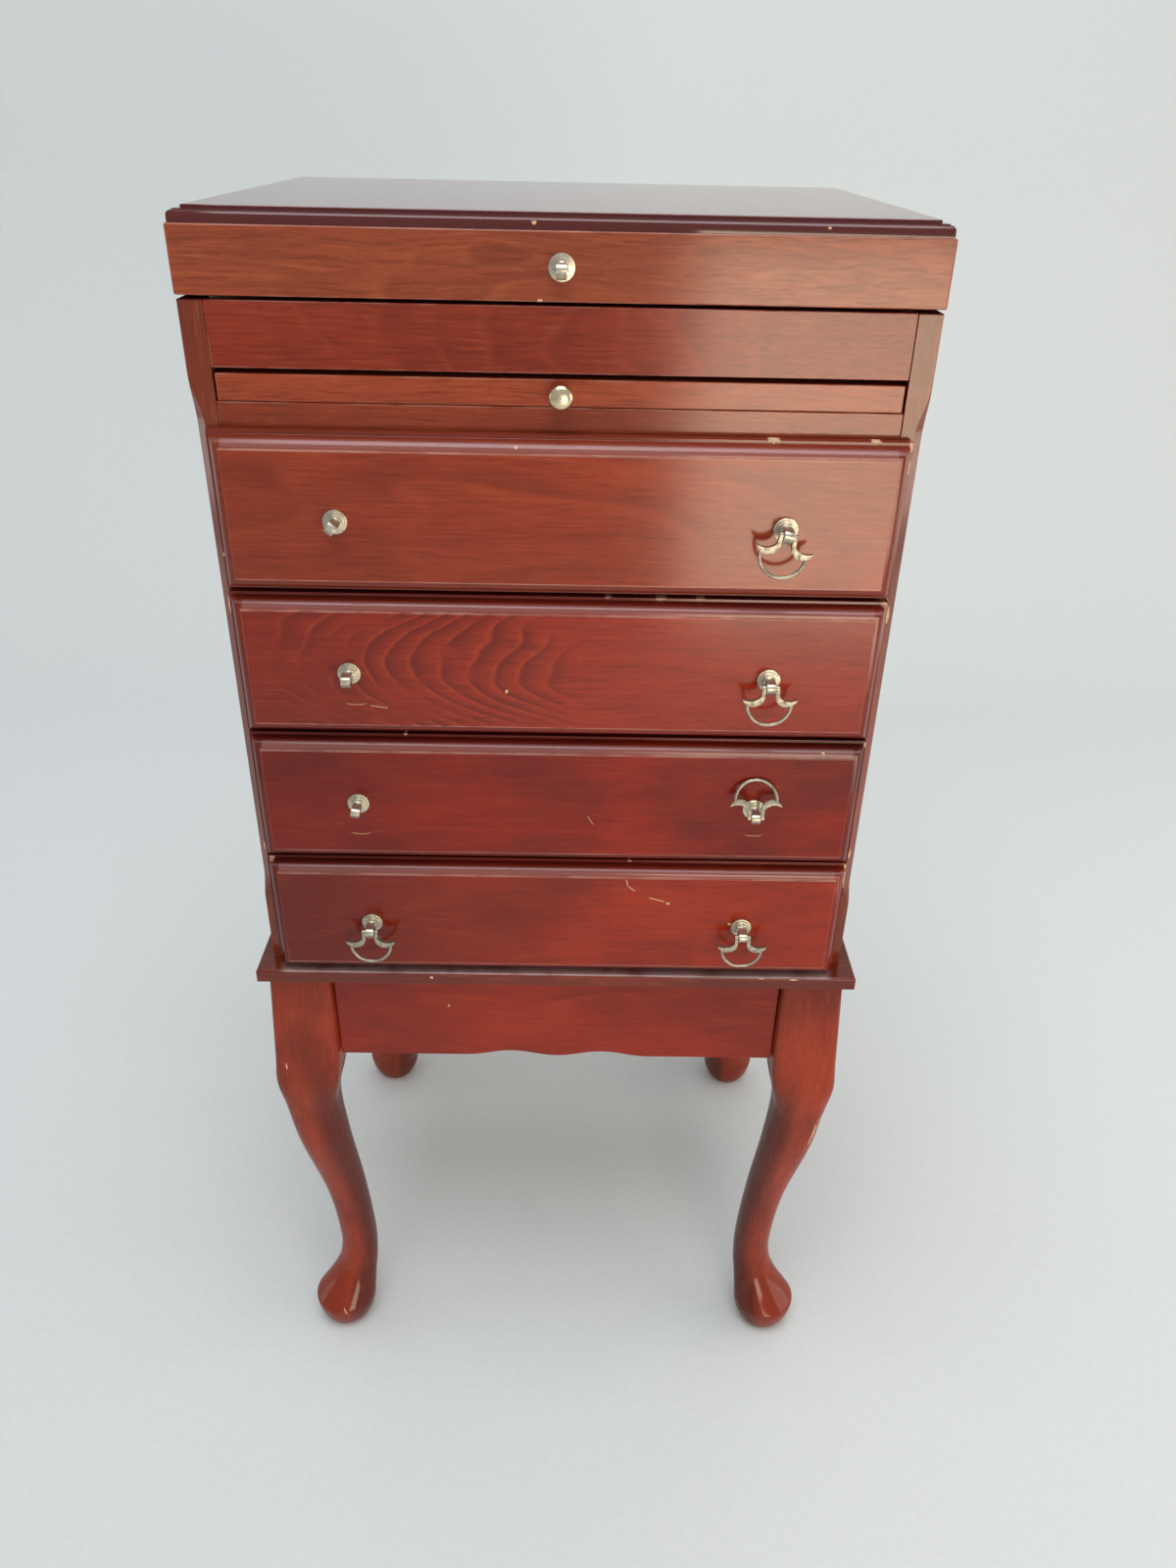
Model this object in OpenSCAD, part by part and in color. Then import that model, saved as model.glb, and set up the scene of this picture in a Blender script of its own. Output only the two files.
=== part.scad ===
// Jewelry cabinet: a chest of four drawers with a pull-out slide and a lift-up lid,
// standing on a separate base with four cabriole legs.
// +Z is up, the front faces -Y, and the pads of the feet rest on z = 0.

/* [Carcass] */
// Width over the two side panels
carcass_w = 420; // [390:1:470]
// Depth from the front edges of the side panels to the back
carcass_d = 340; // [330:1:380]
// Thickness of the side panels
panel_t = 13.6; // [11:0.2:16]
// Thickness of the back panel
back_t = 6; // [4:0.5:8]
// Thickness of the carcass floor
floor_t = 6; // [4:0.5:8]
// Setback of the floor's front edge, behind the drawer fronts
floor_setback = 12; // [11:0.5:30]
// Setback of the front panel, slide and rail from the panel edges
face_setback = 1.2; // [0.5:0.1:3]
// Width of the stopped chamfer on the front corners
chamfer_w = 6; // [3:0.5:9]
// Height above the ledge where the chamfer begins
chamfer_low = 55; // [30:1:90]
// Distance below the carcass top where the chamfer ends
chamfer_high = 38; // [25:1:80]
// Length of the chamfer's curved end at the bottom
tongue_low = 18; // [10:1:30]
// Length of the chamfer's curved end at the top
tongue_high = 30; // [10:1:40]

/* [Base] */
// Height of the legs, from the floor to the ledge
leg_h = 412; // [390:0.5:440]
// Thickness of the ledge that the chest stands on
ledge_t = 10.3; // [8:0.1:14]
// Overhang of the ledge beyond the legs
ledge_overhang = 6.5; // [5:0.5:12]
// Chamfer round the upper edge of the ledge
ledge_chamfer = 1.2; // [0.5:0.1:2]
// Square size of a leg at its top
leg_block = 45; // [40:0.5:50]
// How far the legs stand out beyond the carcass sides
leg_out_side = 3.5; // [1:0.5:6]
// How far the front legs stand out beyond the carcass front
leg_out_front = 10; // [8:0.5:14]
// How far the back legs stand out beyond the carcass back
leg_out_back = 3.5; // [1:0.5:8]
// Height of the aprons between the legs
apron_h = 82.4; // [60:0.2:95]
// Thickness of the aprons
apron_t = 16; // [12:0.5:19]
// Setback of the aprons behind the faces of the legs
apron_setback = 8; // [3:0.5:10]
// Shadow gap between an apron and a leg
apron_gap = 0.8; // [0.5:0.1:1.2]
// Width of one wave of the scalloped front apron
wave_w = 70; // [50:1:80]
// Rise of a wave above the apron's straight edge
wave_rise = 4.6; // [2:0.2:8]
// Width of a corner block's end where it meets an apron
block_w = 30; // [20:1:40]
// Height of a corner block
block_h = 32; // [20:1:50]
// Clearance between a corner block and its leg
block_gap = 0.8; // [0.3:0.1:2]

/* [Cabriole leg] */
// Height of the knee's fullest point
knee_z = 306; // [290:1:320]
// Swell of the knee beyond the top of the leg
knee_swell = 6.4; // [5:0.2:9]
// Hollow of the knee on its inner side
knee_cut = 2.2; // [1:0.1:3]
// Swell of the leg where it passes the apron's lower edge
knee_line_swell = 4.4; // [3:0.2:5]
// Height of the hollow below the knee's shoulder
shoulder_z = 278; // [265:1:284]
// Depth of that hollow on the inner side
shoulder_cut = 7.7; // [5:0.1:9]
// Width of the leg at the hollow below the shoulder
shoulder_w = 40.8; // [38:0.2:46]
// Height where the leg turns inwards
calf_z = 230; // [215:1:245]
// Width of the leg there
calf_w = 39.5; // [37:0.5:44]
// Outward shift of the leg there
calf_out = 2; // [0:0.2:4]
// Height of the middle of the shin
shin_z = 155; // [140:1:175]
// Width of the shin
shin_w = 32; // [29:0.5:36]
// Inward shift of the shin
shin_in = 8; // [5:0.5:11]
// Height of the ankle
ankle_z = 90; // [80:1:105]
// Width of the ankle
ankle_w = 31; // [28:0.5:35]
// Inward shift of the ankle
ankle_in = 12.5; // [9:0.5:15]
// Height of the instep
instep_z = 62; // [55:1:70]
// Width of the foot at the instep
instep_w = 33.5; // [31:0.5:40]
// Inward shift of the instep
instep_in = 11; // [8:0.5:13]
// Height of the widest part of the pad foot
pad_z = 28; // [24:1:32]
// Width of the pad foot
pad_w = 53.5; // [48:0.5:55]
// Outward shift of the pad foot
pad_out = 1.5; // [0:0.5:2]
// Width of the pad where it meets the sole
pad_rim_w = 43; // [41:0.5:46]
// Height of the sole under the pad
sole_h = 15; // [8:0.5:18]
// Width of the sole
sole_w = 38; // [32:0.5:40]

/* [Lid] */
// How far the lid stands out beyond each side of the carcass
lid_over = 1; // [0.5:0.1:3]
// Height of the lid's frame
lid_frame_h = 35.5; // [28:0.5:45]
// Thickness of the lid's frame
lid_frame_t = 13; // [10:0.5:16]
// Gap between the lid and the carcass, set by two felt pads
lid_gap = 2; // [1.5:0.1:3]
// Diameter of those pads
bumper_d = 8; // [5:0.5:11]
// Distance of the pads behind the lid's front
bumper_y = 24; // [18:1:60]
// Inset of the moulded edge of the lid's top from the frame
edge_inset = 1.4; // [0.8:0.1:3]
// Height of the flat face of that edge
edge_flat = 3.4; // [2:0.1:5]
// Radius of the rounding above the flat face
edge_r = 2.8; // [2:0.1:4]
// Height of the fillet above the rounding
edge_fillet = 0.5; // [0.3:0.1:1]
// Width of the shelf behind the fillet
shelf_w = 3.6; // [2:0.1:5]
// Height of the raised top above the shelf
edge_h = 1.8; // [1.2:0.1:3]
// Chamfer on the raised top
edge_chamfer = 0.4; // [0.2:0.1:0.8]
// Thickness of the felt linings
felt_t = 2; // [1:0.2:3]
// Gap round a felt lining
felt_gap = 0.5; // [0.3:0.1:1]

/* [Well and slide] */
// Height of the fixed front panel
front_panel_h = 35.7; // [30:0.1:45]
// Thickness of the fixed front panel
front_panel_t = 12; // [9:0.5:16]
// Thickness of the well's floor
well_floor_t = 5; // [4:0.5:8]
// Thickness of the pull-out slide
slide_t = 15; // [12:0.2:18]
// Gap above the slide
slide_gap = 2.9; // [1.5:0.1:4]
// Gap under the slide and beside it
slide_run = 0.3; // [0.2:0.1:0.5]
// Side clearance of the slide
slide_side = 1.2; // [0.6:0.1:2]
// Depth of the slide
slide_d = 298; // [260:1:300]
// Height of the rail seen between the slide and the top drawer
rail_show = 14.1; // [10:0.1:20]
// Hidden height of the rail behind the top drawer's lip
rail_overlap = 4; // [2:0.5:4]
// Thickness of the rail
rail_t = 20; // [14:0.5:24]
// Width of a bearer under the slide
bearer_w = 20; // [12:0.5:24]
// Height of a bearer
bearer_h = 12; // [9:0.5:14]
// Distance of the slide's stop cleat behind the rail
cleat_run = 212; // [180:1:212]
// Width of the stop cleat
cleat_w = 240; // [160:1:280]
// Depth and height of the stop cleat
cleat_t = 11; // [8:0.5:12]

/* [Drawers] */
// Height of a drawer front
drawer_h = 94.4; // [88:0.1:100]
// Gap between two drawer fronts
drawer_gap = 2.4; // [1.5:0.1:4]
// Gap between the lowest drawer front and the ledge
base_gap = 1.4; // [1:0.1:4]
// How far a drawer front laps over the side panels
lip_lap = 6.1; // [4:0.1:7.5]
// Gap between the lip and the side panels
lip_gap = 0.4; // [0.3:0.1:0.8]
// Distance of the lip's face in front of the side panels
lip_t = 7; // [5:0.1:8]
// Distance of the raised field in front of the side panels
field_t = 17; // [14:0.1:18]
// Width of the moulded border
moulding_w = 8.5; // [7.5:0.1:12]
// Width of the lip's flat face
lip_face = 2; // [1:0.1:3]
// Width of the fillet below the field
fillet_w = 1; // [0.5:0.1:2]
// Height of that fillet
fillet_h = 1.3; // [0.6:0.1:2]
// Thickness of the inner part of the front, inside the opening
inner_t = 8; // [6:0.5:10]
// Step from the lip to that inner part, above and below it
inner_step = 5; // [5:0.5:8]
// Side clearance of a drawer
drawer_side = 1.4; // [0.8:0.1:2]
// Depth of a drawer behind the carcass front
drawer_d = 318; // [290:1:322]
// Thickness of the drawer's sides and back
drawer_t = 10; // [8.5:0.5:12]
// Height of the drawer's sides
side_h = 72; // [60:1:76]
// Height of the sides' lower edge above the front's lower edge
side_z = 12; // [8:0.5:14]
// Height of the drawer's bottom above the sides' lower edge
bottom_z = 4; // [2:0.5:8]
// Thickness of the drawer's bottom
bottom_t = 4; // [3:0.5:6]
// Height of the groove for the runner
groove_h = 9; // [7:0.5:12]
// Depth of that groove
groove_t = 5; // [3:0.5:6]
// Clearance of the runner above and below
runner_gap = 0.3; // [0.2:0.1:0.5]
// Clearance between the runner and the bottom of the groove
runner_end = 0.6; // [0.3:0.1:1]
// Setback of the runners
runner_setback = 14; // [12:0.5:30]

/* [Pulls] */
// Distance of a pull from the middle of its drawer
pull_x = 131; // [110:1:150]
// Distance of a pull below the middle of its drawer front
pull_drop = 1.8; // [0:0.1:4]
// Diameter of a rosette
rosette_d = 14.4; // [12:0.2:17]
// Width of each step of a rosette
rosette_ledge = 1.2; // [0.8:0.1:1.5]
// Height of each step of a rosette
rosette_step = 1.5; // [1:0.1:1.8]
// Distance of the pivot in front of the wood
pivot_out = 12.4; // [11.6:0.2:15]
// Width of the tongue that holds the bail
tongue_w = 5.7; // [4.5:0.1:7]
// Radius of the tongue's rounded end
tongue_r = 3.1; // [2.6:0.1:3.6]
// Drop of the tongue's chin below the pivot
chin_drop = 2; // [1:0.1:2.6]
// Setback of the chin behind the pivot
chin_back = 1.6; // [0.5:0.1:2.5]
// Diameter of the bail's pin
pin_d = 2; // [1.6:0.1:2.4]
// Radial clearance of a pin that turns in its hole
pin_gap = 0.05; // [0.02:0.01:0.08]
// Gap between the tongue and an arm of the bail
arm_gap = 0.35; // [0.3:0.05:0.6]
// Width of an arm of the bail
arm_w = 2.2; // [1.8:0.1:2.6]
// Depth of the arms and horns of the bail
bail_t = 3; // [2.6:0.1:3.6]
// Straight length of an arm
arm_h = 5.2; // [4.6:0.1:6]
// Outer radius of a horn
horn_r = 7.2; // [7:0.1:7.6]
// Inner radius of a horn
horn_inner_r = 8.6; // [8.4:0.1:8.8]
// Sideways shift of a horn's hollow, which thins its tip
horn_shift = 2; // [1.9:0.1:2.2]
// Upward shift of that hollow
horn_lift = 5; // [4.8:0.1:5.2]
// Drop of a horn's tip below its middle
horn_drop = 2.8; // [2.6:0.1:3.4]
// Radius of the grip's arc
grip_r = 13.7; // [13.4:0.1:14]
// Thickness of the grip
grip_d = 2.2; // [1.8:0.1:2.4]
// Distance of the arc's middle below the pivot
grip_z = 11.8; // [11.6:0.1:12.2]
// Turn by which the arc runs up into each horn
grip_lap = 6; // [5:0.5:7]
// Gap that a raised bail keeps from the drawer front
bail_rest = 0.3; // [0.2:0.1:0.6]
// Diameter of the slide's knob
knob_d = 14; // [12:0.5:16]
// Length of the slide's knob
knob_l = 10.5; // [9.5:0.5:13]
// Diameter of the knob's neck
knob_neck_d = 7; // [5:0.5:8]
// Length of the knob's neck, up to its head
knob_neck_l = 6; // [4.5:0.1:6.5]
// Length over which the neck flares into the head
knob_flare_l = 3.6; // [2:0.1:4]
// Height of the head's straight rim
knob_rim_h = 1.4; // [0.5:0.1:2]
// Distance of the knob below the middle of the slide
knob_drop = 1.2; // [0:0.1:2]

/* [Hinges] */
// Depth of the fixed rail behind the lid
hinge_rail_d = 28; // [24:0.5:40]
// Distance of a hinge from the middle of the lid
hinge_x = 130; // [90:1:160]
// Width of a hinge
hinge_w = 50; // [40:1:60]
// Width of the middle knuckle
knuckle_w = 17; // [12:0.5:22]
// Gap between knuckles
knuckle_gap = 0.5; // [0.3:0.1:1]
// Outer radius of a knuckle
knuckle_r = 2.8; // [2.4:0.1:3.2]
// Thickness of a leaf
leaf_t = 1.2; // [0.8:0.1:1.3]
// Depth of the lower leaf
leaf_d = 18; // [14:0.5:20]
// Height of the upper leaf
leaf_h = 26; // [20:0.5:34]
// Gap between the lid's back and the hinge rail
rail_gap = 1.6; // [1.5:0.1:3]
// Distance of the hinge pin behind the rail's front face
hinge_y = 3; // [3:0.1:4]
// Gap between a knuckle and the rail
knuckle_lift = 0.4; // [0.3:0.1:0.8]

/* [Hidden] */
$fn = 48;

// Clockwise turn of each post on its drawer, left and right, as they have worked loose
pull_turn = [[37, 10], [0, 0], [10, 0], [0, 0]];
// Shift of each post from its even place, to the right and up, as the holes were drilled by hand
pull_shift = [[[0, 0], [1.4, 0]], [[0, 0], [0.8, 0]], [[-1.8, 1.9], [0, 1.9]], [[0, 0], [0, 0]]];
drawer_count = 4;
rosette_tiers = 3;
curve_steps = 8;
overcut = 1;

// Heights
ledge_top = leg_h + ledge_t;
drawers_low = ledge_top + base_gap;
drawers_top = drawers_low + drawer_count * drawer_h + (drawer_count - 1) * drawer_gap;
rail_top = drawers_top + rail_show;
slide_low = rail_top + slide_run;
slide_top = slide_low + slide_t;
panel_low = slide_top + slide_gap;
carcass_top = panel_low + front_panel_h;
lid_low = carcass_top + lid_gap;
lid_frame_top = lid_low + lid_frame_h;

// Widths and depths, measured from the front edges of the side panels
inner_w = carcass_w - 2 * panel_t;
inner_back = carcass_d - back_t;
leg_x = carcass_w / 2 + leg_out_side - leg_block / 2;
leg_front_y = leg_block / 2 - leg_out_front;
leg_back_y = carcass_d + leg_out_back - leg_block / 2;
ledge_x = leg_x + leg_block / 2 + ledge_overhang;
ledge_front = -leg_out_front - ledge_overhang;
ledge_back = carcass_d + leg_out_back + ledge_overhang;
rail_front = carcass_d - hinge_rail_d;
lid_w = carcass_w + 2 * lid_over;
lid_d = rail_front - rail_gap;
drawer_w = inner_w - 2 * drawer_side;
front_w = inner_w + 2 * lip_lap;
well_front = face_setback + front_panel_t;

// The origin lies under the middle of the part, between the front pulls and the ledge's back edge
front_reach = field_t + pivot_out + tongue_r;
middle_y = (ledge_back - front_reach) / 2;

// Hinge line
hinge_line_y = rail_front + hinge_y;
hinge_line_z = lid_frame_top + knuckle_lift + knuckle_r;

// Colours
mahogany = "#6b2a1d";
pale_wood = "#c8a878";
felt = "#5a1620";
antique_brass = "#8f7d52";
bright_brass = "#cdb878";

module placed() {
    translate([0, -middle_y, 0]) children();
}

// A box from its two opposite corners
module block(low, high) {
    translate(low) cube(high - low);
}

// Both sides of the part, the second one mirrored
module each_side() {
    children();
    mirror([1, 0, 0]) children();
}

// Lower edge of drawer k's front, counted from 1 at the top
function drawer_z(k) = drawers_low + (drawer_count - k) * (drawer_h + drawer_gap);

// Place of a post on drawer k, the left one for 0 and the right one for 1, at a distance from the wood
function pull_place(k, i, out) = let (shift = pull_shift[k - 1][i])
    [(2 * i - 1) * pull_x + shift[0], -field_t - out, drawer_z(k) + drawer_h / 2 - pull_drop + shift[1]];

// Carcass

// Outline of the chamfer along the panel's height, as depth below the sharp corner
function chamfer_depth(t) = chamfer_w / sqrt(2) * (1 - cos(180 * t)) / 2;
module chamfer_cut() {
    low = ledge_top + chamfer_low;
    high = carcass_top - chamfer_high;
    outline = concat(
        [[chamfer_w, low]],
        [for (i = [0 : curve_steps]) [-chamfer_depth(i / curve_steps), low + tongue_low * i / curve_steps]],
        [for (i = [curve_steps : -1 : 0])
            [-chamfer_depth(i / curve_steps), high - tongue_high * i / curve_steps]],
        [[chamfer_w, high]]);
    translate([carcass_w / 2, 0, 0]) rotate([90, 0, -45])
        linear_extrude(4 * chamfer_w, center = true) polygon(outline);
}

module side_panel() {
    difference() {
        block([inner_w / 2, 0, ledge_top], [carcass_w / 2, carcass_d, carcass_top]);
        chamfer_cut();
    }
}

module side_panel_right() {
    color(mahogany) placed() side_panel();
}

module side_panel_left() {
    color(mahogany) placed() mirror([1, 0, 0]) side_panel();
}

module back_panel() {
    color(mahogany) placed()
        block([-inner_w / 2, inner_back, ledge_top], [inner_w / 2, carcass_d, carcass_top]);
}

module front_panel() {
    color(mahogany) placed()
        block([-inner_w / 2, face_setback, panel_low], [inner_w / 2, well_front, carcass_top]);
}

module hinge_rail() {
    color(mahogany) placed()
        block([-carcass_w / 2, rail_front, carcass_top], [carcass_w / 2, carcass_d, lid_frame_top]);
}

module well_floor() {
    color(pale_wood) placed()
        block([-inner_w / 2, well_front, panel_low], [inner_w / 2, inner_back, panel_low + well_floor_t]);
}

module well_lining() {
    low = panel_low + well_floor_t;
    color(felt) placed()
        block([-inner_w / 2 + felt_gap, well_front + felt_gap, low],
              [inner_w / 2 - felt_gap, inner_back - felt_gap, low + felt_t]);
}

module divider_rail() {
    color(mahogany) placed()
        block([-inner_w / 2, face_setback, drawers_top - rail_overlap],
              [inner_w / 2, face_setback + rail_t, rail_top]);
}

module slide_bearers() {
    color(pale_wood) placed() each_side()
        block([inner_w / 2 - bearer_w, face_setback + rail_t, rail_top - bearer_h],
              [inner_w / 2, inner_back, rail_top]);
}

module drawer_runners() {
    color(pale_wood) placed() for (k = [1 : drawer_count]) each_side()
        block([drawer_w / 2 - groove_t + runner_end, runner_setback, groove_low(k) + runner_gap],
              [inner_w / 2, inner_back, groove_low(k) + groove_h - runner_gap]);
}

module bottom_panel() {
    color(pale_wood) placed()
        block([-inner_w / 2, floor_setback, ledge_top], [inner_w / 2, inner_back, ledge_top + floor_t]);
}

module lid_bumpers() {
    color(felt) placed() each_side()
        translate([carcass_w / 2 - panel_t / 2, bumper_y, carcass_top]) cylinder(d = bumper_d, h = lid_gap);
}

// Base

// A board whose upper edge is chamfered on all four sides
module stand_top() {
    depth = ledge_back - ledge_front;
    color(mahogany) placed() intersection() {
        translate([0, ledge_back, leg_h]) rotate([90, 0, 0])
            linear_extrude(depth) chamfered_edge(2 * ledge_x);
        translate([-ledge_x, ledge_front + depth / 2, leg_h]) rotate([90, 0, 90])
            linear_extrude(2 * ledge_x) chamfered_edge(depth);
    }
}

module chamfered_edge(width) {
    low = width / 2;
    high = low - ledge_chamfer;
    polygon([[-low, 0], [low, 0], [low, ledge_t - ledge_chamfer], [high, ledge_t],
             [-high, ledge_t], [-low, ledge_t - ledge_chamfer]]);
}

apron_x = leg_x - leg_block / 2 - apron_gap;
apron_low = leg_h - apron_h;
apron_front_y = apron_setback - leg_out_front;
apron_back_y = carcass_d + leg_out_back - apron_setback;
apron_side_x = leg_x + leg_block / 2 - apron_setback;

// The scalloped lower edge: two waves in the middle of a straight edge
module apron_front() {
    wave_steps = 12;
    outline = concat(
        [[-apron_x, apron_h], [-apron_x, 0]],
        [for (i = [-wave_steps : wave_steps])
            [wave_w * i / wave_steps, wave_rise * (1 - cos(360 * i / wave_steps)) / 2]],
        [[apron_x, 0], [apron_x, apron_h]]);
    color(mahogany) placed()
        translate([0, apron_front_y + apron_t, apron_low]) rotate([90, 0, 0])
            linear_extrude(apron_t) polygon(outline);
}

module plain_aprons() {
    color(mahogany) placed() {
        block([-apron_x, apron_back_y - apron_t, apron_low], [apron_x, apron_back_y, leg_h]);
        each_side()
            block([apron_side_x - apron_t, leg_front_y + leg_block / 2 + apron_gap, apron_low],
                  [apron_side_x, leg_back_y - leg_block / 2 - apron_gap, leg_h]);
    }
}

// A diagonal block glued behind each leg, from apron to apron
module corner_block(apron_y, leg_y, inwards) {
    side_x = apron_side_x - apron_t;
    corner_x = leg_x - leg_block / 2 - block_gap;
    corner_y = leg_y + inwards * (leg_block / 2 + block_gap);
    near_x = corner_x - abs(corner_y - apron_y);
    near_y = corner_y + inwards * (side_x - corner_x);
    translate([0, 0, leg_h - block_h]) linear_extrude(block_h)
        polygon([[near_x, apron_y], [side_x, near_y], [side_x, near_y + inwards * block_w],
                 [near_x - block_w, apron_y]]);
}

module corner_blocks() {
    color(pale_wood) placed() each_side() {
        corner_block(apron_front_y + apron_t, leg_front_y, 1);
        corner_block(apron_back_y - apron_t, leg_back_y, -1);
    }
}

// Cabriole leg: sections along its height, each with the outward shift of its middle along
// both axes and half its width
half_block = leg_block / 2;
leg_stations = [
    [sole_h, pad_out, pad_rim_w / 2],
    [pad_z, pad_out, pad_w / 2],
    [instep_z, -instep_in, instep_w / 2],
    [ankle_z, -ankle_in, ankle_w / 2],
    [shin_z, -shin_in, shin_w / 2],
    [calf_z, calf_out, calf_w / 2],
    [shoulder_z, shoulder_w / 2 - half_block + shoulder_cut, shoulder_w / 2],
    [knee_z, (knee_swell + knee_cut) / 2, half_block + (knee_swell - knee_cut) / 2],
    [apron_low, knee_line_swell / 2, half_block + knee_line_swell / 2],
    [leg_h, 0, half_block]];
// How square the leg is at those sections, from 2 for the round foot to 14 for the sharp top
leg_square = [2, 2, 2, 2.2, 2.4, 2.5, 3.8, 5.8, 10, 14];
last_station = len(leg_stations) - 1;
leg_sides = 24;

function station_no(i) = min(max(i, 0), last_station);
function station(i) = [each leg_stations[station_no(i)], leg_square[station_no(i)]];
function span_of(z, i = 0) = i == last_station - 1 || z < station(i + 1)[0] ? i : span_of(z, i + 1);
function slope(i, k) = (station(i + 1)[k] - station(i - 1)[k]) / (station(i + 1)[0] - station(i - 1)[0]);

// A smooth curve through the stations' values
function leg_value(z, k) =
    let (i = span_of(z), a = station(i), b = station(i + 1), d = b[0] - a[0], t = (z - a[0]) / d)
    a[k] * (1 + 2 * t) * (1 - t) ^ 2 + b[k] * t * t * (3 - 2 * t)
    + slope(i, k) * d * t * (1 - t) ^ 2 - slope(i + 1, k) * d * t * t * (1 - t);

// One section as a rounded square, from a circle to a nearly sharp one
function leg_ring(z, shift, half, square) = [for (j = [0 : leg_sides - 1])
    let (a = 360 * j / leg_sides,
         r = half / (abs(cos(a)) ^ square + abs(sin(a)) ^ square) ^ (1 / square))
    [shift + r * cos(a), shift + r * sin(a), z]];

function leg_section(z) = leg_ring(z, leg_value(z, 1), leg_value(z, 2), leg_value(z, 3));

foot_rings = 11;
shank_rings = 24;
top_rings = 4;
leg_rings = concat(
    [leg_ring(0, pad_out, sole_w / 2, 2), leg_ring(sole_h, pad_out, sole_w / 2, 2)],
    [for (i = [0 : foot_rings - 1]) leg_section(sole_h + (instep_z - sole_h) * i / foot_rings)],
    [for (i = [0 : shank_rings - 1]) leg_section(instep_z + (apron_low - instep_z) * i / shank_rings)],
    [for (i = [0 : top_rings]) leg_section(apron_low + (leg_h - apron_low) * i / top_rings)]);

module leg() {
    count = len(leg_rings);
    top_middle = count * leg_sides;
    function at(i, j) = i * leg_sides + j % leg_sides;
    polyhedron(
        points = [for (ring = leg_rings) each ring, [0, 0, leg_h]],
        faces = concat(
            [[for (j = [0 : leg_sides - 1]) at(0, j)]],
            [for (i = [0 : count - 2], j = [0 : leg_sides - 1], half = [0, 1])
                half == 0 ? [at(i, j), at(i + 1, j), at(i, j + 1)]
                          : [at(i, j + 1), at(i + 1, j), at(i + 1, j + 1)]],
            [for (j = [0 : leg_sides - 1]) [at(count - 1, j + 1), at(count - 1, j), top_middle]]));
}

module leg_at(side, y, back) {
    color(mahogany) placed() translate([side * leg_x, y, 0])
        mirror([side < 0 ? 1 : 0, 0, 0]) mirror([0, back ? 0 : 1, 0]) leg();
}

module leg_front_left() leg_at(-1, leg_front_y, false);
module leg_front_right() leg_at(1, leg_front_y, false);
module leg_back_left() leg_at(-1, leg_back_y, true);
module leg_back_right() leg_at(1, leg_back_y, true);

// Lid

// A quarter round that starts square to the face and ends along it
function ovolo(from, to) = [for (i = [0 : curve_steps]) let (a = 90 * i / curve_steps)
    [from[0] + (to[0] - from[0]) * (1 - cos(a)), from[1] + (to[1] - from[1]) * sin(a)]];

// Moulded edge of the lid's top, as inset and height
fillet_in = edge_inset + edge_r;
lid_edge = fillet_in + shelf_w;
lid_shelf = edge_flat + edge_r + edge_fillet;
lid_top_t = lid_shelf + edge_h;
lid_profile = concat(
    [[edge_inset, 0]],
    ovolo([edge_inset, edge_flat], [fillet_in, edge_flat + edge_r]),
    [[fillet_in, lid_shelf], [lid_edge, lid_shelf],
     [lid_edge, lid_top_t - edge_chamfer], [lid_edge + edge_chamfer, lid_top_t]]);

module lid_top() {
    half = lid_w / 2;
    last = len(lid_profile) - 1;
    sides = concat([for (p = lid_profile) [half - p[0], p[1]]],
                   [for (i = [last : -1 : 0]) [lid_profile[i][0] - half, lid_profile[i][1]]]);
    front = concat([for (p = lid_profile) p], [[lid_d, lid_top_t], [lid_d, 0]]);
    color(mahogany) placed() translate([0, 0, lid_frame_top]) intersection() {
        translate([0, lid_d, 0]) rotate([90, 0, 0]) linear_extrude(lid_d) polygon(sides);
        translate([-half, 0, 0]) rotate([90, 0, 90]) linear_extrude(lid_w) polygon(front);
    }
}

module lid_front() {
    color(mahogany) placed()
        block([-lid_w / 2, 0, lid_low], [lid_w / 2, lid_frame_t, lid_frame_top]);
}

module lid_sides() {
    color(mahogany) placed() each_side()
        block([lid_w / 2 - lid_frame_t, lid_frame_t, lid_low],
              [lid_w / 2, lid_d - lid_frame_t, lid_frame_top]);
}

module lid_back() {
    color(mahogany) placed()
        block([-lid_w / 2, lid_d - lid_frame_t, lid_low], [lid_w / 2, lid_d, lid_frame_top]);
}

module lid_lining() {
    half = lid_w / 2 - lid_frame_t - felt_gap;
    color(felt) placed()
        block([-half, lid_frame_t + felt_gap, lid_frame_top - felt_t],
              [half, lid_d - lid_frame_t - felt_gap, lid_frame_top]);
}

module lid_pull() {
    color(antique_brass) placed()
        translate([0, 0, (lid_low + lid_frame_top) / 2]) pull_post(0);
}

// Hinges

module at_hinges() {
    for (side = [-1, 1]) translate([side * hinge_x, hinge_line_y, hinge_line_z]) children();
}

// A cylinder along X about the pin
module along_x(radius, width) {
    rotate([0, 90, 0]) cylinder(r = radius, h = width, center = true);
}

end_knuckle_w = (hinge_w - knuckle_w) / 2 - knuckle_gap;
end_knuckle_x = (hinge_w - end_knuckle_w) / 2;
leaf_low = -knuckle_r - knuckle_lift;

module hinge_lower_leaves() {
    middle_w = knuckle_w + 2 * knuckle_gap;
    color(bright_brass) placed() at_hinges() difference() {
        union() {
            for (side = [-1, 1]) translate([side * end_knuckle_x, 0, 0]) along_x(knuckle_r, end_knuckle_w);
            block([-hinge_w / 2, 0, leaf_low], [hinge_w / 2, leaf_d, leaf_low + leaf_t]);
        }
        along_x(pin_d / 2, hinge_w + overcut);
        block([-middle_w / 2, -knuckle_r - overcut, leaf_low - overcut],
              [middle_w / 2, knuckle_r + knuckle_gap, knuckle_r + overcut]);
    }
}

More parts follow.
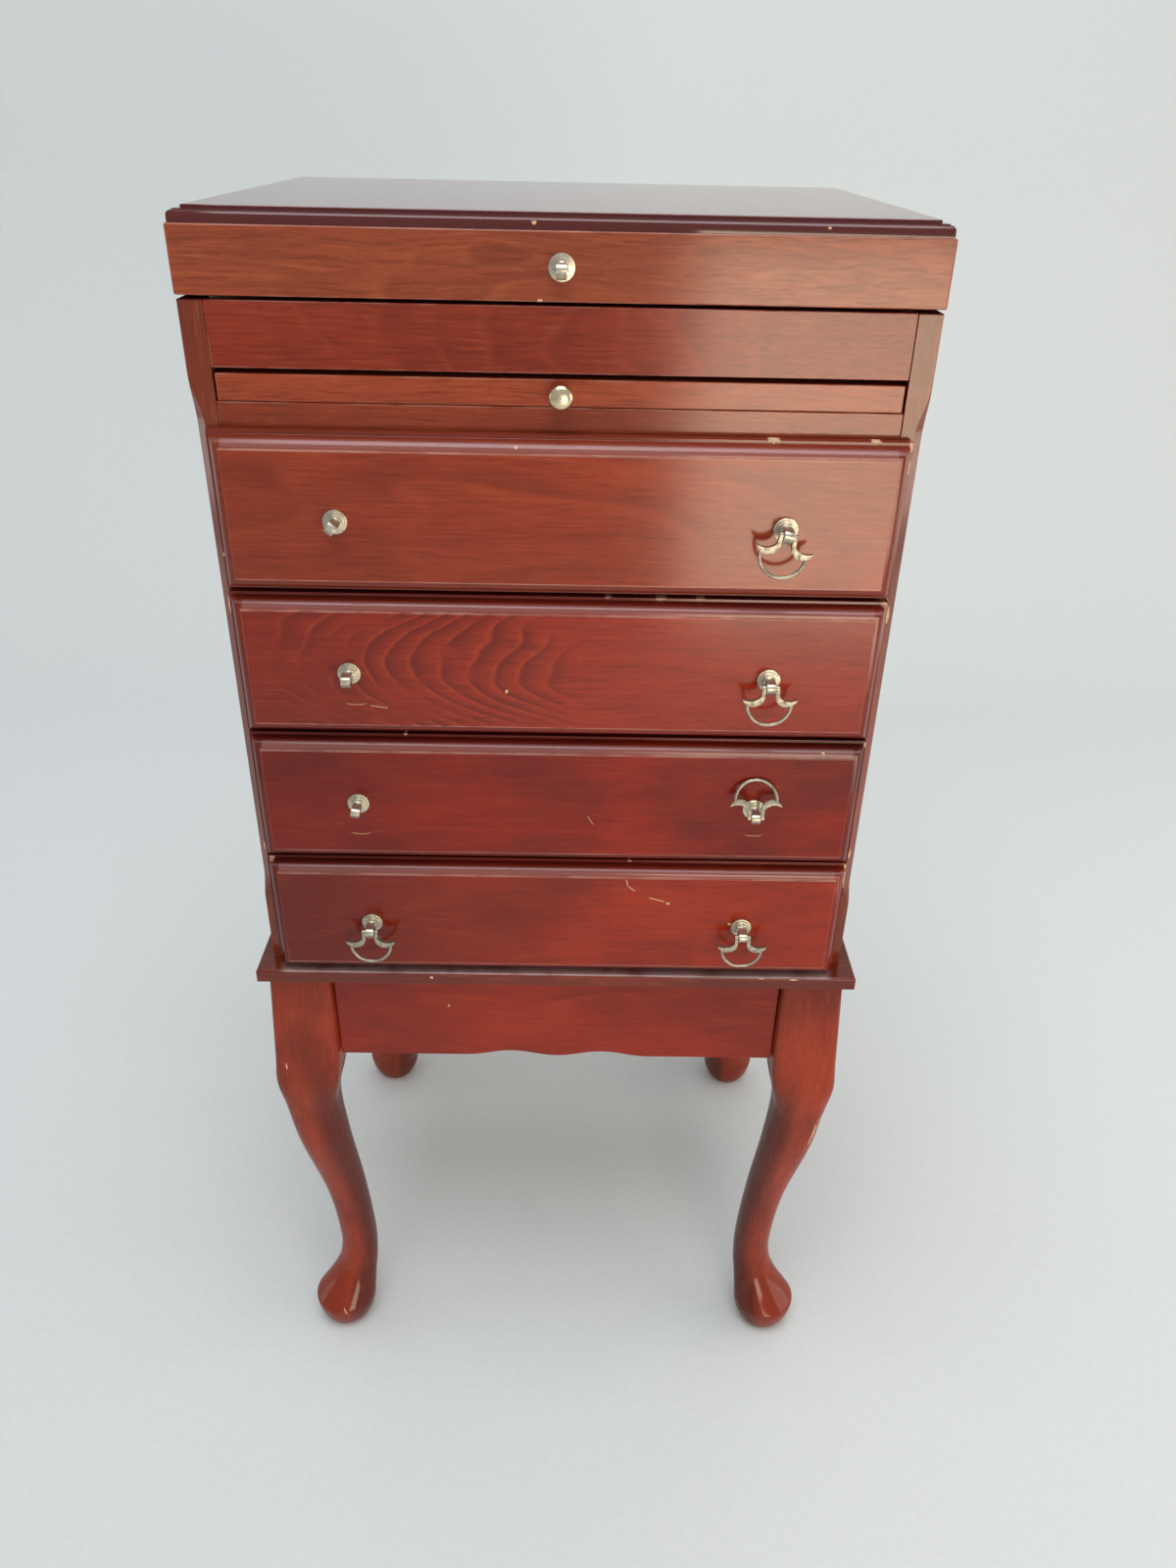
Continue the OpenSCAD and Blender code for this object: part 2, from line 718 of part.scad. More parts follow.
module hinge_pins() {
    color(bright_brass) placed() at_hinges() along_x(pin_d / 2, hinge_w);
}

module hinge_upper_leaves() {
    leaf_back = lid_d - hinge_line_y;
    web_t = leaf_t;
    color(bright_brass) placed() at_hinges() difference() {
        union() {
            along_x(knuckle_r, knuckle_w);
            block([-hinge_w / 2, leaf_back, -leaf_h], [hinge_w / 2, leaf_back + leaf_t, web_t / 2]);
            block([-knuckle_w / 2, leaf_back, -web_t / 2], [knuckle_w / 2, -knuckle_r / 2, web_t / 2]);
        }
        along_x(pin_d / 2 + pin_gap, hinge_w + overcut);
    }
}

// Slide

slide_w = inner_w - 2 * slide_side;
module slide_board() {
    cleat_y = face_setback + rail_t + cleat_run;
    color(mahogany) placed() union() {
        block([-slide_w / 2, face_setback, slide_low], [slide_w / 2, face_setback + slide_d, slide_top]);
        block([-cleat_w / 2, cleat_y, slide_low - cleat_t], [cleat_w / 2, cleat_y + cleat_t, slide_low]);
    }
}

// A round brass knob: a neck that flares into a domed head
module slide_knob() {
    head_r = knob_d / 2;
    neck_r = knob_neck_d / 2;
    flare = [for (i = [0 : curve_steps]) let (a = 90 * i / curve_steps)
        [neck_r + (head_r - neck_r) * (1 - cos(a)), knob_neck_l - knob_flare_l * (1 - sin(a))]];
    rim_top = knob_neck_l + knob_rim_h;
    knob_z = slide_low + slide_t / 2 - knob_drop;
    dome = [for (i = [0 : curve_steps]) let (a = 90 * i / curve_steps)
        [head_r * cos(a), rim_top + (knob_l - rim_top) * sin(a)]];
    color(bright_brass) placed() translate([0, face_setback, knob_z]) rotate([90, 0, 0])
        rotate_extrude() polygon(concat([[0, 0], [neck_r, 0]], flare, dome));
}

// Drawers

// Moulded border of a drawer front, as inset and distance in front of the side panels
drawer_profile = concat(
    [[0, lip_gap], [0, lip_t], [lip_face, lip_t]],
    ovolo([lip_face, lip_t], [moulding_w - fillet_w, field_t - fillet_h]),
    [[moulding_w, field_t - fillet_h], [moulding_w, field_t]]);

// The border's outline across a panel of the given width
module moulded_outline(width) {
    half = width / 2;
    last = len(drawer_profile) - 1;
    polygon(concat([for (p = drawer_profile) [half - p[0], -p[1]]],
                   [for (i = [last : -1 : 0]) [drawer_profile[i][0] - half, -drawer_profile[i][1]]]));
}

module drawer_front(k) {
    low = drawer_z(k);
    color(mahogany) placed() union() {
        translate([0, 0, low + drawer_h / 2]) intersection() {
            linear_extrude(drawer_h, center = true) moulded_outline(front_w);
            rotate([0, 90, 0]) linear_extrude(front_w, center = true) moulded_outline(drawer_h);
        }
        block([-drawer_w / 2, -lip_gap, low + inner_step],
              [drawer_w / 2, inner_t, low + drawer_h - inner_step]);
    }
}

function side_low(k) = drawer_z(k) + side_z;
function groove_low(k) = side_low(k) + (side_h - groove_h) / 2;
function lining_low(k) = side_low(k) + bottom_z + bottom_t;
drawer_inner_w = drawer_w - 2 * drawer_t;
drawer_inner_back = drawer_d - drawer_t;

module drawer_sides(k) {
    color(pale_wood) placed() each_side() difference() {
        block([drawer_inner_w / 2, inner_t, side_low(k)], [drawer_w / 2, drawer_d, side_low(k) + side_h]);
        block([drawer_w / 2 - groove_t, inner_t - overcut, groove_low(k)],
              [drawer_w / 2 + overcut, drawer_d + overcut, groove_low(k) + groove_h]);
    }
}

module drawer_back(k) {
    color(pale_wood) placed()
        block([-drawer_inner_w / 2, drawer_inner_back, side_low(k) + bottom_z],
              [drawer_inner_w / 2, drawer_d, side_low(k) + side_h]);
}

module drawer_bottom(k) {
    color(pale_wood) placed()
        block([-drawer_inner_w / 2, inner_t, side_low(k) + bottom_z],
              [drawer_inner_w / 2, drawer_inner_back, lining_low(k)]);
}

module drawer_lining(k) {
    half = drawer_inner_w / 2 - felt_gap;
    color(felt) placed()
        block([-half, inner_t + felt_gap, lining_low(k)],
              [half, drawer_inner_back - felt_gap, lining_low(k) + felt_t]);
}

// Pulls

// Side of the tongue from the pivot to its chin, as distance from the wood and height
chin_place = [pivot_out - chin_back, -chin_drop];
chin_side = tongue_r / norm([chin_back, chin_drop]) * [chin_drop, -chin_back];
module tongue_side() {
    polygon([[pivot_out, 0] + chin_side, [pivot_out, 0] - chin_side,
             chin_place - chin_side, chin_place + chin_side]);
}

// A stepped rosette with a tongue that is drilled for the bail's pin, standing out towards -Y
module pull_post(turn) {
    rosette_r = rosette_d / 2;
    cap_low = rosette_tiers * rosette_step;
    rosette = concat(
        [[0, 0]],
        [for (i = [0 : rosette_tiers - 1]) let (r = rosette_r - i * rosette_ledge)
            each [[r, i * rosette_step], [r, (i + 1) * rosette_step]]],
        [for (i = [0 : curve_steps]) let (a = 90 * i / curve_steps)
            [(rosette_r - rosette_tiers * rosette_ledge) * cos(a), cap_low + rosette_step * sin(a)]]);
    rotate([0, turn, 0]) difference() {
        union() {
            rotate([90, 0, 0]) rotate_extrude() polygon(rosette);
            block([-tongue_w / 2, -pivot_out, -tongue_r], [tongue_w / 2, -rosette_step, tongue_r]);
            translate([0, -pivot_out, 0]) along_x(tongue_r, tongue_w);
            translate([0, -chin_place[0], chin_place[1]]) along_x(tongue_r, tongue_w);
            rotate([90, 0, -90]) linear_extrude(tongue_w, center = true) tongue_side();
        }
        translate([0, -pivot_out, 0]) along_x(pin_d / 2 + pin_gap, tongue_w + overcut);
    }
}

module drawer_pulls(k) {
    color(antique_brass) placed() for (i = [0, 1])
        translate(pull_place(k, i, 0)) pull_post(pull_turn[k - 1][i]);
}

// Outline of one arm and its horn, hanging below the pivot
arm_x = tongue_w / 2 + arm_gap;
module horn_outline() {
    middle = [arm_x + horn_r, -arm_h];
    far = arm_x + 2 * horn_r;
    translate([arm_x, -arm_h]) square([arm_w, arm_h]);
    intersection() {
        difference() {
            translate(middle) circle(horn_r);
            translate(middle + [horn_shift, horn_lift]) circle(horn_inner_r);
        }
        polygon([[0, -arm_h], [middle[0] + horn_shift, -arm_h], [far, -arm_h - horn_drop],
                 [far, -arm_h - 2 * horn_r], [0, -arm_h - 2 * horn_r]]);
    }
}

// The bail hanging from its pivot: a pin, two arms that end in horns and a round grip between them
module bail_shape() {
    along_x(pin_d / 2, tongue_w + 2 * arm_gap + arm_w);
    each_side() {
        rotate([90, 0, 0]) linear_extrude(bail_t, center = true) horn_outline();
        translate([arm_x + arm_w / 2, 0, 0]) along_x(bail_t / 2, arm_w);
    }
    translate([0, 0, -grip_z]) rotate([90, 0, 0])
        rotate_extrude(angle = 180 + 2 * grip_lap, start = 180 - grip_lap)
            translate([grip_r, 0]) circle(d = grip_d);
}

// Swing of a bail that is thrown up and leans on the drawer front
raised = 180 + asin((pivot_out - grip_d / 2 - bail_rest) / (grip_z + grip_r));

module bail(k, i, swing) {
    color(antique_brass) placed()
        translate(pull_place(k, i, pivot_out))
            rotate([0, pull_turn[k - 1][i], 0]) rotate([-swing, 0, 0]) bail_shape();
}

module bail_1_right() bail(1, 1, 0);
module bail_2_right() bail(2, 1, 0);
module bail_3_right() bail(3, 1, raised);
module bail_4_left() bail(4, 0, 0);
module bail_4_right() bail(4, 1, 0);

side_panel_left();
side_panel_right();
back_panel();
front_panel();
hinge_rail();
well_floor();
well_lining();
divider_rail();
slide_bearers();
drawer_runners();
bottom_panel();
lid_bumpers();
stand_top();
apron_front();
plain_aprons();
corner_blocks();
leg_front_left();
leg_front_right();
leg_back_left();
leg_back_right();
hinge_lower_leaves();
hinge_pins();
lid_top();
lid_front();
lid_sides();
lid_back();
lid_lining();
hinge_upper_leaves();
lid_pull();
slide_board();
slide_knob();
drawer_front(1);  // drawer_1_front
drawer_sides(1);  // drawer_1_sides
drawer_back(1);  // drawer_1_back
drawer_bottom(1);  // drawer_1_bottom
drawer_lining(1);  // drawer_1_lining
drawer_pulls(1);  // drawer_1_pulls
drawer_front(2);  // drawer_2_front
drawer_sides(2);  // drawer_2_sides
drawer_back(2);  // drawer_2_back
drawer_bottom(2);  // drawer_2_bottom
drawer_lining(2);  // drawer_2_lining
drawer_pulls(2);  // drawer_2_pulls
drawer_front(3);  // drawer_3_front
drawer_sides(3);  // drawer_3_sides
drawer_back(3);  // drawer_3_back
drawer_bottom(3);  // drawer_3_bottom
drawer_lining(3);  // drawer_3_lining
drawer_pulls(3);  // drawer_3_pulls
drawer_front(4);  // drawer_4_front
drawer_sides(4);  // drawer_4_sides
drawer_back(4);  // drawer_4_back
drawer_bottom(4);  // drawer_4_bottom
drawer_lining(4);  // drawer_4_lining
drawer_pulls(4);  // drawer_4_pulls
bail_1_right();
bail_2_right();
bail_3_right();
bail_4_left();
bail_4_right();
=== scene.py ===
# %% [markdown]
# # A jewelry cabinet on cabriole legs
# The solids of the cabinet are already built and jointed. This lesson dresses them: it lights a
# plain studio, mixes the stained and lacquered wood, the dull brass and the felt, and adds the
# small things that a solid model leaves out, such as screws, pins and worn edges.

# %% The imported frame
import math

import bmesh
import bpy
from mathutils import Matrix, Vector, noise


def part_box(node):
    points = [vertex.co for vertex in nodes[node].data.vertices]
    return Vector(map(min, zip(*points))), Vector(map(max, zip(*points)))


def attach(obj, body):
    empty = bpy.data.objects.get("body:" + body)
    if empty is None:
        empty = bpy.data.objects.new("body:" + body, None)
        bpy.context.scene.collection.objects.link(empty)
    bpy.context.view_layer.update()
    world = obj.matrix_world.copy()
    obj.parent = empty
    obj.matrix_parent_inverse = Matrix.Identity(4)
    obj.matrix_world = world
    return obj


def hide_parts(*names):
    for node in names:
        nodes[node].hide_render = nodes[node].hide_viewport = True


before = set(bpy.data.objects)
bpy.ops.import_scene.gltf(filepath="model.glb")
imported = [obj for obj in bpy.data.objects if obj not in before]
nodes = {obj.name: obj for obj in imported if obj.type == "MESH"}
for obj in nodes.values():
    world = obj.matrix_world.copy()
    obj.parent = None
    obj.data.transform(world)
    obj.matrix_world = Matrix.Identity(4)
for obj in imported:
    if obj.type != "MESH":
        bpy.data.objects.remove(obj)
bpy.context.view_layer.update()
DRAWERS = (1, 2, 3, 4)

# %% [markdown]
# ## The studio
# A pale floor that sweeps up into a backdrop keeps the eye on the furniture. The lens and the
# place of the camera were solved from straight edges of the real piece, so they are set as plain
# numbers. Lacquered wood only looks lacquered when it has something to mirror: the low box in
# front lays a warm sheen on the right of the upper boards, the overhead box draws a thin bright
# line along each moulding, the side boxes catch the chamfered corners, and the last one brightens
# the backdrop, which the polished lid mirrors.

# %% Camera
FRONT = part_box("side_panel_left")[0].y
LENS_MM, SENSOR_MM, NEAR_CLIP = 26.444, 36.0, 0.05
EYE = Vector((0.0118, FRONT - 0.67518, 0.9680))
YAW, PITCH, ROLL = (math.radians(a) for a in (-0.704, -30.204, -1.245))

camera = bpy.data.objects.new("camera", bpy.data.cameras.new("camera"))
camera.data.lens, camera.data.sensor_width, camera.data.clip_start = LENS_MM, SENSOR_MM, NEAR_CLIP
turn = Matrix.Rotation(YAW, 4, "Z") @ Matrix.Rotation(PITCH, 4, "X") @ Matrix.Rotation(ROLL, 4, "Y")
camera.matrix_world = Matrix.Translation(EYE) @ turn @ Matrix.Rotation(math.pi / 2, 4, "X")
bpy.context.scene.collection.objects.link(camera)
bpy.context.scene.camera = camera
bpy.context.scene.view_settings.view_transform = "Standard"

# %% Lights
def soft_box(name, place, target, width, height, watts, colour=(1.0, 1.0, 1.0)):
    """A rectangular lamp that looks at its target."""
    lamp = bpy.data.lights.new(name, "AREA")
    lamp.shape = "RECTANGLE"
    lamp.size, lamp.size_y, lamp.energy, lamp.color = width, height, watts, colour
    piece = bpy.data.objects.new(name, lamp)
    away = Vector(place) - Vector(target)
    piece.matrix_world = Matrix.Translation(place) @ away.to_track_quat("Z", "Y").to_matrix().to_4x4()
    bpy.context.scene.collection.objects.link(piece)


soft_box("overhead_box", (0.0, -0.7, 2.7), (0.0, -0.1, 0.5), width=1.5, height=1.5, watts=36.0,
         colour=(0.90, 0.94, 1.0))
soft_box("low_box", (0.57, -2.0, 0.39), (0.57, 0.0, 0.39), width=0.66, height=0.78, watts=12.4,
         colour=(1.0, 0.82, 0.60))
soft_box("backdrop_box", (0.0, 0.9, 2.9), (0.0, 2.0, 1.0), width=3.0, height=0.6, watts=9.0)
soft_box("left_box", (-2.4, 0.3, 0.75), (0.0, 0.3, 0.75), width=1.6, height=1.3, watts=7.5)
soft_box("right_box", (2.4, -0.2, 0.80), (0.0, -0.2, 0.80), width=2.6, height=1.4, watts=24.0,
         colour=(1.0, 0.90, 0.78))

world = bpy.data.worlds.new("studio")
world.use_nodes = True
background = world.node_tree.nodes["Background"].inputs
background["Color"].default_value = (0.93, 0.96, 1.0, 1.0)
background["Strength"].default_value = 0.45
bpy.context.scene.world = world
print("camera at", tuple(round(c, 4) for c in EYE))

# %% [markdown]
# ## A short way to write shader maths
# A material is a graph of nodes, and linking each one by hand hides the idea. Here one small
# class stands for a socket, so that `1 - mask * 0.4` builds its own Math nodes, and one method
# adds any other node from its settings and its inputs.

# %% Shader helpers
class Value:
    """One number or colour on its way through a material."""

    def __init__(self, paint, socket):
        self.paint, self.socket = paint, socket

    def _math(self, operation, *others):
        inputs = dict(enumerate((self, *others)))
        return self.paint.add("ShaderNodeMath", {"operation": operation}, inputs)

    def __add__(self, other):
        return self._math("ADD", other)

    def __sub__(self, other):
        return self._math("SUBTRACT", other)

    def __rsub__(self, other):
        return self.paint.add("ShaderNodeMath", {"operation": "SUBTRACT"}, {0: other, 1: self})

    def __mul__(self, other):
        return self._math("MULTIPLY", other)

    def __truediv__(self, other):
        return self._math("DIVIDE", other)

    __radd__, __rmul__ = __add__, __mul__

    def size(self):
        return self._math("ABSOLUTE")

    def root(self):
        return self._math("SQRT")

    def fraction(self):
        return self._math("FRACT")

    def lower(self, other):
        return self._math("MINIMUM", other)

    def upper(self, other):
        return self._math("MAXIMUM", other)

    def ramp(self, low, high):
        """0 below low, 1 above high and smooth between, or the other way if low is above high."""
        flip = low > high
        inputs = {0: self, 1: min(low, high), 2: max(low, high), 3: float(flip), 4: float(not flip)}
        return self.paint.add("ShaderNodeMapRange", {"interpolation_type": "SMOOTHSTEP"}, inputs)


class Paint:
    """A material with one Principled shader. Constants go straight to the shader's sockets."""

    def __init__(self, name, **constants):
        self.material = bpy.data.materials.new(name)
        self.material.use_nodes = True
        self.tree = self.material.node_tree
        self.shader = self.tree.nodes["Principled BSDF"]
        for socket, value in constants.items():
            self.shader.inputs[socket.replace("_", " ")].default_value = value

    def add(self, kind, settings=None, inputs=None, output=0):
        node = self.tree.nodes.new(kind)
        for name, value in (settings or {}).items():
            setattr(node, name, value)
        for key, value in (inputs or {}).items():
            if isinstance(value, Value):
                self.tree.links.new(value.socket, node.inputs[key])
            else:
                node.inputs[key].default_value = value
        return Value(self, node.outputs[output])

    def place(self):
        """The three Object coordinates, in metres."""
        where = self.add("ShaderNodeTexCoord", output="Object")
        return [self.add("ShaderNodeSeparateXYZ", {}, {0: where}, i) for i in range(3)]

    def vector(self, x, y, z):
        return self.add("ShaderNodeCombineXYZ", {}, {0: x, 1: y, 2: z})

    def noise(self, x, y, z, detail=2.0, roughness=0.5):
        inputs = {"Vector": self.vector(x, y, z), "Scale": 1.0, "Detail": detail, "Roughness": roughness}
        return self.add("ShaderNodeTexNoise", {}, inputs)

    def mix(self, amount, first, second):
        inputs = {0: amount, 6: first, 7: second}
        return self.add("ShaderNodeMix", {"data_type": "RGBA", "clamp_factor": True}, inputs, 2)

    def feed(self, **sockets):
        for name, value in sockets.items():
            self.tree.links.new(value.socket, self.shader.inputs[name.replace("_", " ")])

    def bump(self, height, strength, distance):
        inputs = {"Strength": strength, "Distance": distance, "Height": height}
        self.feed(Normal=self.add("ShaderNodeBump", {}, inputs))


def blend(first, second, amount):
    """A colour between two colours, worked out in Python."""
    return tuple(a + (b - a) * amount for a, b in zip(first, second)) + (1.0,)


# %% [markdown]
# ## Floor and backdrop
# One strip of mesh, bent upwards behind the cabinet, has no visible corner. Its colour is a plain
# pale grey with a very slight grain, so that the shadow under the legs still reads.

# %% The sweep
def sweep_mesh():
    """A floor that bends up into a wall behind the cabinet."""
    near, far, bend, rise, half, steps = -6.0, 1.1, 0.9, 4.0, 6.0, 16
    arc = [(far + bend * math.sin(a), bend * (1 - math.cos(a)))
           for a in (math.pi / 2 * i / steps for i in range(steps + 1))]
    outline = [(near, 0.0), *arc, (far + bend, rise)]
    bm = bmesh.new()
    rows = [[bm.verts.new((side * half, y, z)) for side in (-1, 1)] for y, z in outline]
    for a, b in zip(rows, rows[1:]):
        bm.faces.new((a[0], a[1], b[1], b[0])).smooth = True
    mesh = bpy.data.meshes.new("studio_floor")
    bm.to_mesh(mesh)
    bm.free()
    return mesh


floor = bpy.data.objects.new("studio_floor", sweep_mesh())
bpy.context.scene.collection.objects.link(floor)
pale = Paint("pale_floor", Roughness=0.85)
x, y, z = pale.place()
speck = pale.noise(x * 150, y * 150, z * 150, detail=4.0)
pale.feed(Base_Color=pale.mix(speck.ramp(0.3, 0.7), (0.68, 0.71, 0.70, 1), (0.70, 0.73, 0.72, 1)))
floor.data.materials.append(pale.material)
print("floor of", len(floor.data.polygons), "faces")

# %% [markdown]
# ## Stained and lacquered wood
# Each board is stained red-brown and lacquered. Up close it shows slow clouds where the stain
# took unevenly, fibres and fine dark dashes that run with the grain, soft dark bands of figure with
# a thin light edge, and wear, which is a pale line on rubbed edges and bare wood where the edge is
# chipped. Each is a mask made from the board's own coordinates, so the grain runs the way the board
# was cut. The stain itself gives no mirror light; nearly all of that comes from the lacquer, the coat.
# Some light and shade is painted into the colour as well: a painted reflection of the sky on the upper
# moulding of each drawer, painted shade with darker glazing in the mouldings, on the legs and at the
# left ends of the drawers, and painted light on the dusty ledge top.

# %% Wood colours
RED = {"dark": (0.110, 0.0075, 0.004), "body": (0.318, 0.019, 0.004), "light": (0.58, 0.090, 0.020)}
BROWN = {"dark": (0.130, 0.026, 0.010), "body": (0.335, 0.066, 0.023), "light": (0.58, 0.180, 0.070)}
# dark glazing in the mouldings, partly painted shade; on raw ends it is bare end grain and painted shade
GLAZE_AND_SHADE = (0.080, 0.016, 0.014, 1.0)    # in the mouldings and on raw ends
# painted shade, partly a darker stain, on the inner sides and at the top of the legs
SHADE_AND_STAIN = (0.045, 0.009, 0.006, 1.0)    # on the inner sides and the ends of the legs
# a painted reflection of the sky, pale on the upper moulding
PAINTED_SKY_SHEEN = (0.36, 0.17, 0.155, 1.0)      # on the upper moulding of a drawer front
RUBBED = (0.55, 0.32, 0.26, 1.0)
BARE = (0.64, 0.43, 0.26, 1.0)
# a dusty grey, lightened further as painted light on the ledge top
DUST_AND_LIGHT = (0.46, 0.34, 0.33, 1.0)
AXES = {"X": (0, 2, 1), "Y": (1, 0, 2), "Z": (2, 0, 1)}
SIDE_APRONS = (0.1735, 0.1737)        # x where the aprons turn the corner
BAND, FIBRE, SILK, DASH, PORES = 0.20, 0.55, 0.18, 0.28, 0.14   # strength of each layer of grain
WEAR_REACH = (FRONT + 0.012, FRONT + 0.006)   # y over which the wear of the front fades out


def grain_axes(paint, along):
    """Coordinates along the grain, across it and into the board. 'XY' turns at the side aprons."""
    place = paint.place()
    if along == "XY":
        side = place[0].size().ramp(*SIDE_APRONS)
        back = 1 - side
        return (place[0] * back + place[1] * side, place[2], place[1] * back + place[0] * side), place
    return [place[i] for i in AXES[along]], place


# %% Figure
def arches(paint, u, v, seed, middle, curve, spacing, reach):
    """Nested arches with their tips towards lower u, between the two ends of the reach."""
    wander = paint.noise(u * 13 + seed, v * 30, seed, detail=1.0, roughness=0.4) - 0.5
    broken = paint.noise(u * 22, v * 38 + seed, seed, detail=2.0).ramp(0.34, 0.54)
    ring = (u - (v - middle) * (v - middle) * curve + wander * 0.045) / spacing
    return ring, u.ramp(reach[0], reach[0] + 0.04) * u.ramp(reach[1], reach[1] - 0.06) * broken


def contours(paint, u, v, seed, stretch, rise, count):
    """Lines of equal height on a smooth hill, as where a flat cut runs through wavy rings."""
    hill = paint.noise(u * stretch + seed, v * rise, seed * 1.3, detail=1.2, roughness=0.4)
    broken = paint.noise(u * 9, v * 18 + seed, seed, detail=2.0).ramp(0.36, 0.56)
    return hill * count, broken


# %% Wear
RAGGED, RUB_WIDTH = 2.0, 0.0007
SCRATCHED, POLISHED = 0.85, 0.40      # how bare the wood is in a scratch and where a bail rubs


def torn_spot(paint, place, middle, radii, seed):
    """A spot at an x and a height, with a torn outline: 1 inside, 0 outside."""
    x, y, z = place
    across, up = (x - middle[0]) / radii[0], (z - middle[1]) / radii[1]
    torn = paint.noise(x * 700 + seed, y * 700, z * 700, detail=3.0) - 0.5
    return ((across * across + up * up).root() + torn * RAGGED).ramp(0.95, 0.75)


def stroke(x, z, start, end, width):
    """A scratch from one point to another: 1 on the line, 0 away from it."""
    span = (end[0] - start[0], end[1] - start[1])
    length = math.hypot(*span)
    way = (span[0] / length, span[1] / length)
    across, up = x - start[0], z - start[1]
    beside = (across * -way[1] + up * way[0]).size()
    ahead = (across * way[0] + up * way[1] - length / 2).size()
    return beside.ramp(width, width * 0.4) * ahead.ramp(length / 2, length * 0.4)


def arc_rub(x, z, middle, radius, half):
    """The short pale arc that a swinging bail rubs below its post."""
    across, up = x - middle[0], z - middle[1]
    far = (across * across + up * up).root()
    line = (far - radius).size().ramp(RUB_WIDTH, RUB_WIDTH * 0.3)
    return line * z.ramp(middle[1] - 0.002, middle[1] - 0.006) * across.size().ramp(half, half * 0.5)


def bare_wood(paint, place, seed, chips, scratches, rubs):
    """Where wear has gone through to bare wood on the front, or None for a board without wear."""
    x, y, z = place
    marks = [torn_spot(paint, place, middle, radii, seed + number * 3.1)
             for number, (middle, radii) in enumerate(chips)]
    marks += [stroke(x, z, *line) * SCRATCHED for line in scratches]
    marks += [arc_rub(x, z, *arc) * POLISHED for arc in rubs]
    if not marks:
        return None
    bare = marks[0]
    for mark in marks[1:]:
        bare = bare.upper(mark)
    return bare * y.ramp(*WEAR_REACH)


def arris(place, box):
    """Distance from the nearest edge of a board: the middle one of its distances from three faces."""
    a, b, c = ((at - (low + high) / 2).size() * -1 + (high - low) / 2
               for at, low, high in zip(place, *box))
    return a.lower(b).upper(a.upper(b).lower(c))


# %% Stain on legs and mouldings
def leg_shade_and_stain(x, z, side):
    """Painted shade, partly stain, on a leg's inner side, which swings out from the ankle; darker ends."""
    lean = z.ramp(0.090, 0.278) * 0.018 + z.ramp(0.085, 0.030) * 0.014 + 0.1785
    shade = (lean - x * side).ramp(-0.001, 0.014) * z.ramp(0.345, 0.265)
    # painted shade under the ledge at the top end; darker towards the foot
    ends = z.ramp(0.130, 0.020) * 0.35 + z.ramp(0.370, 0.405) * 0.25
    return ends.upper(shade * 0.8)


def moulding(paint, place, tone, worn, border):
    """Darker glazing and painted shade around a raised field, a painted reflection of the sky above
    it and a rubbed line on its edge. It gives the new tone, and a mask of the field."""
    x, _, z = place
    half_x, low_z, high_z, glaze_and_shade, rub_and_sheen = border
    over = (z - (low_z + high_z) / 2).size() - (high_z - low_z) / 2
    beside = x.size() - half_x
    outside = over.upper(beside)
    # darker glazing outside the raised field, partly painted shade
    tone = paint.mix(outside.ramp(0.0004, 0.0016) * glaze_and_shade, tone, GLAZE_AND_SHADE)
    # painted reflection of the sky on the moulding just above the field
    painted_sheen = (z - high_z).ramp(0.0005, 0.0012) * (z - high_z).ramp(0.0056, 0.0048)
    tone = paint.mix(painted_sheen * beside.ramp(0.0, -0.002) * (0.7 * rub_and_sheen), tone, PAINTED_SKY_SHEEN)
    rubbed = over.size().ramp(0.0008, 0.0003) * beside.ramp(0.0010, -0.0010)
    rubbed = rubbed + beside.size().ramp(0.0008, 0.0003) * over.ramp(0.0010, -0.0010) * 0.25
    tone = paint.mix(rubbed * (worn * 0.5 + 0.5) * rub_and_sheen, tone, RUBBED)
    return tone, outside.ramp(0.0005, -0.0005)


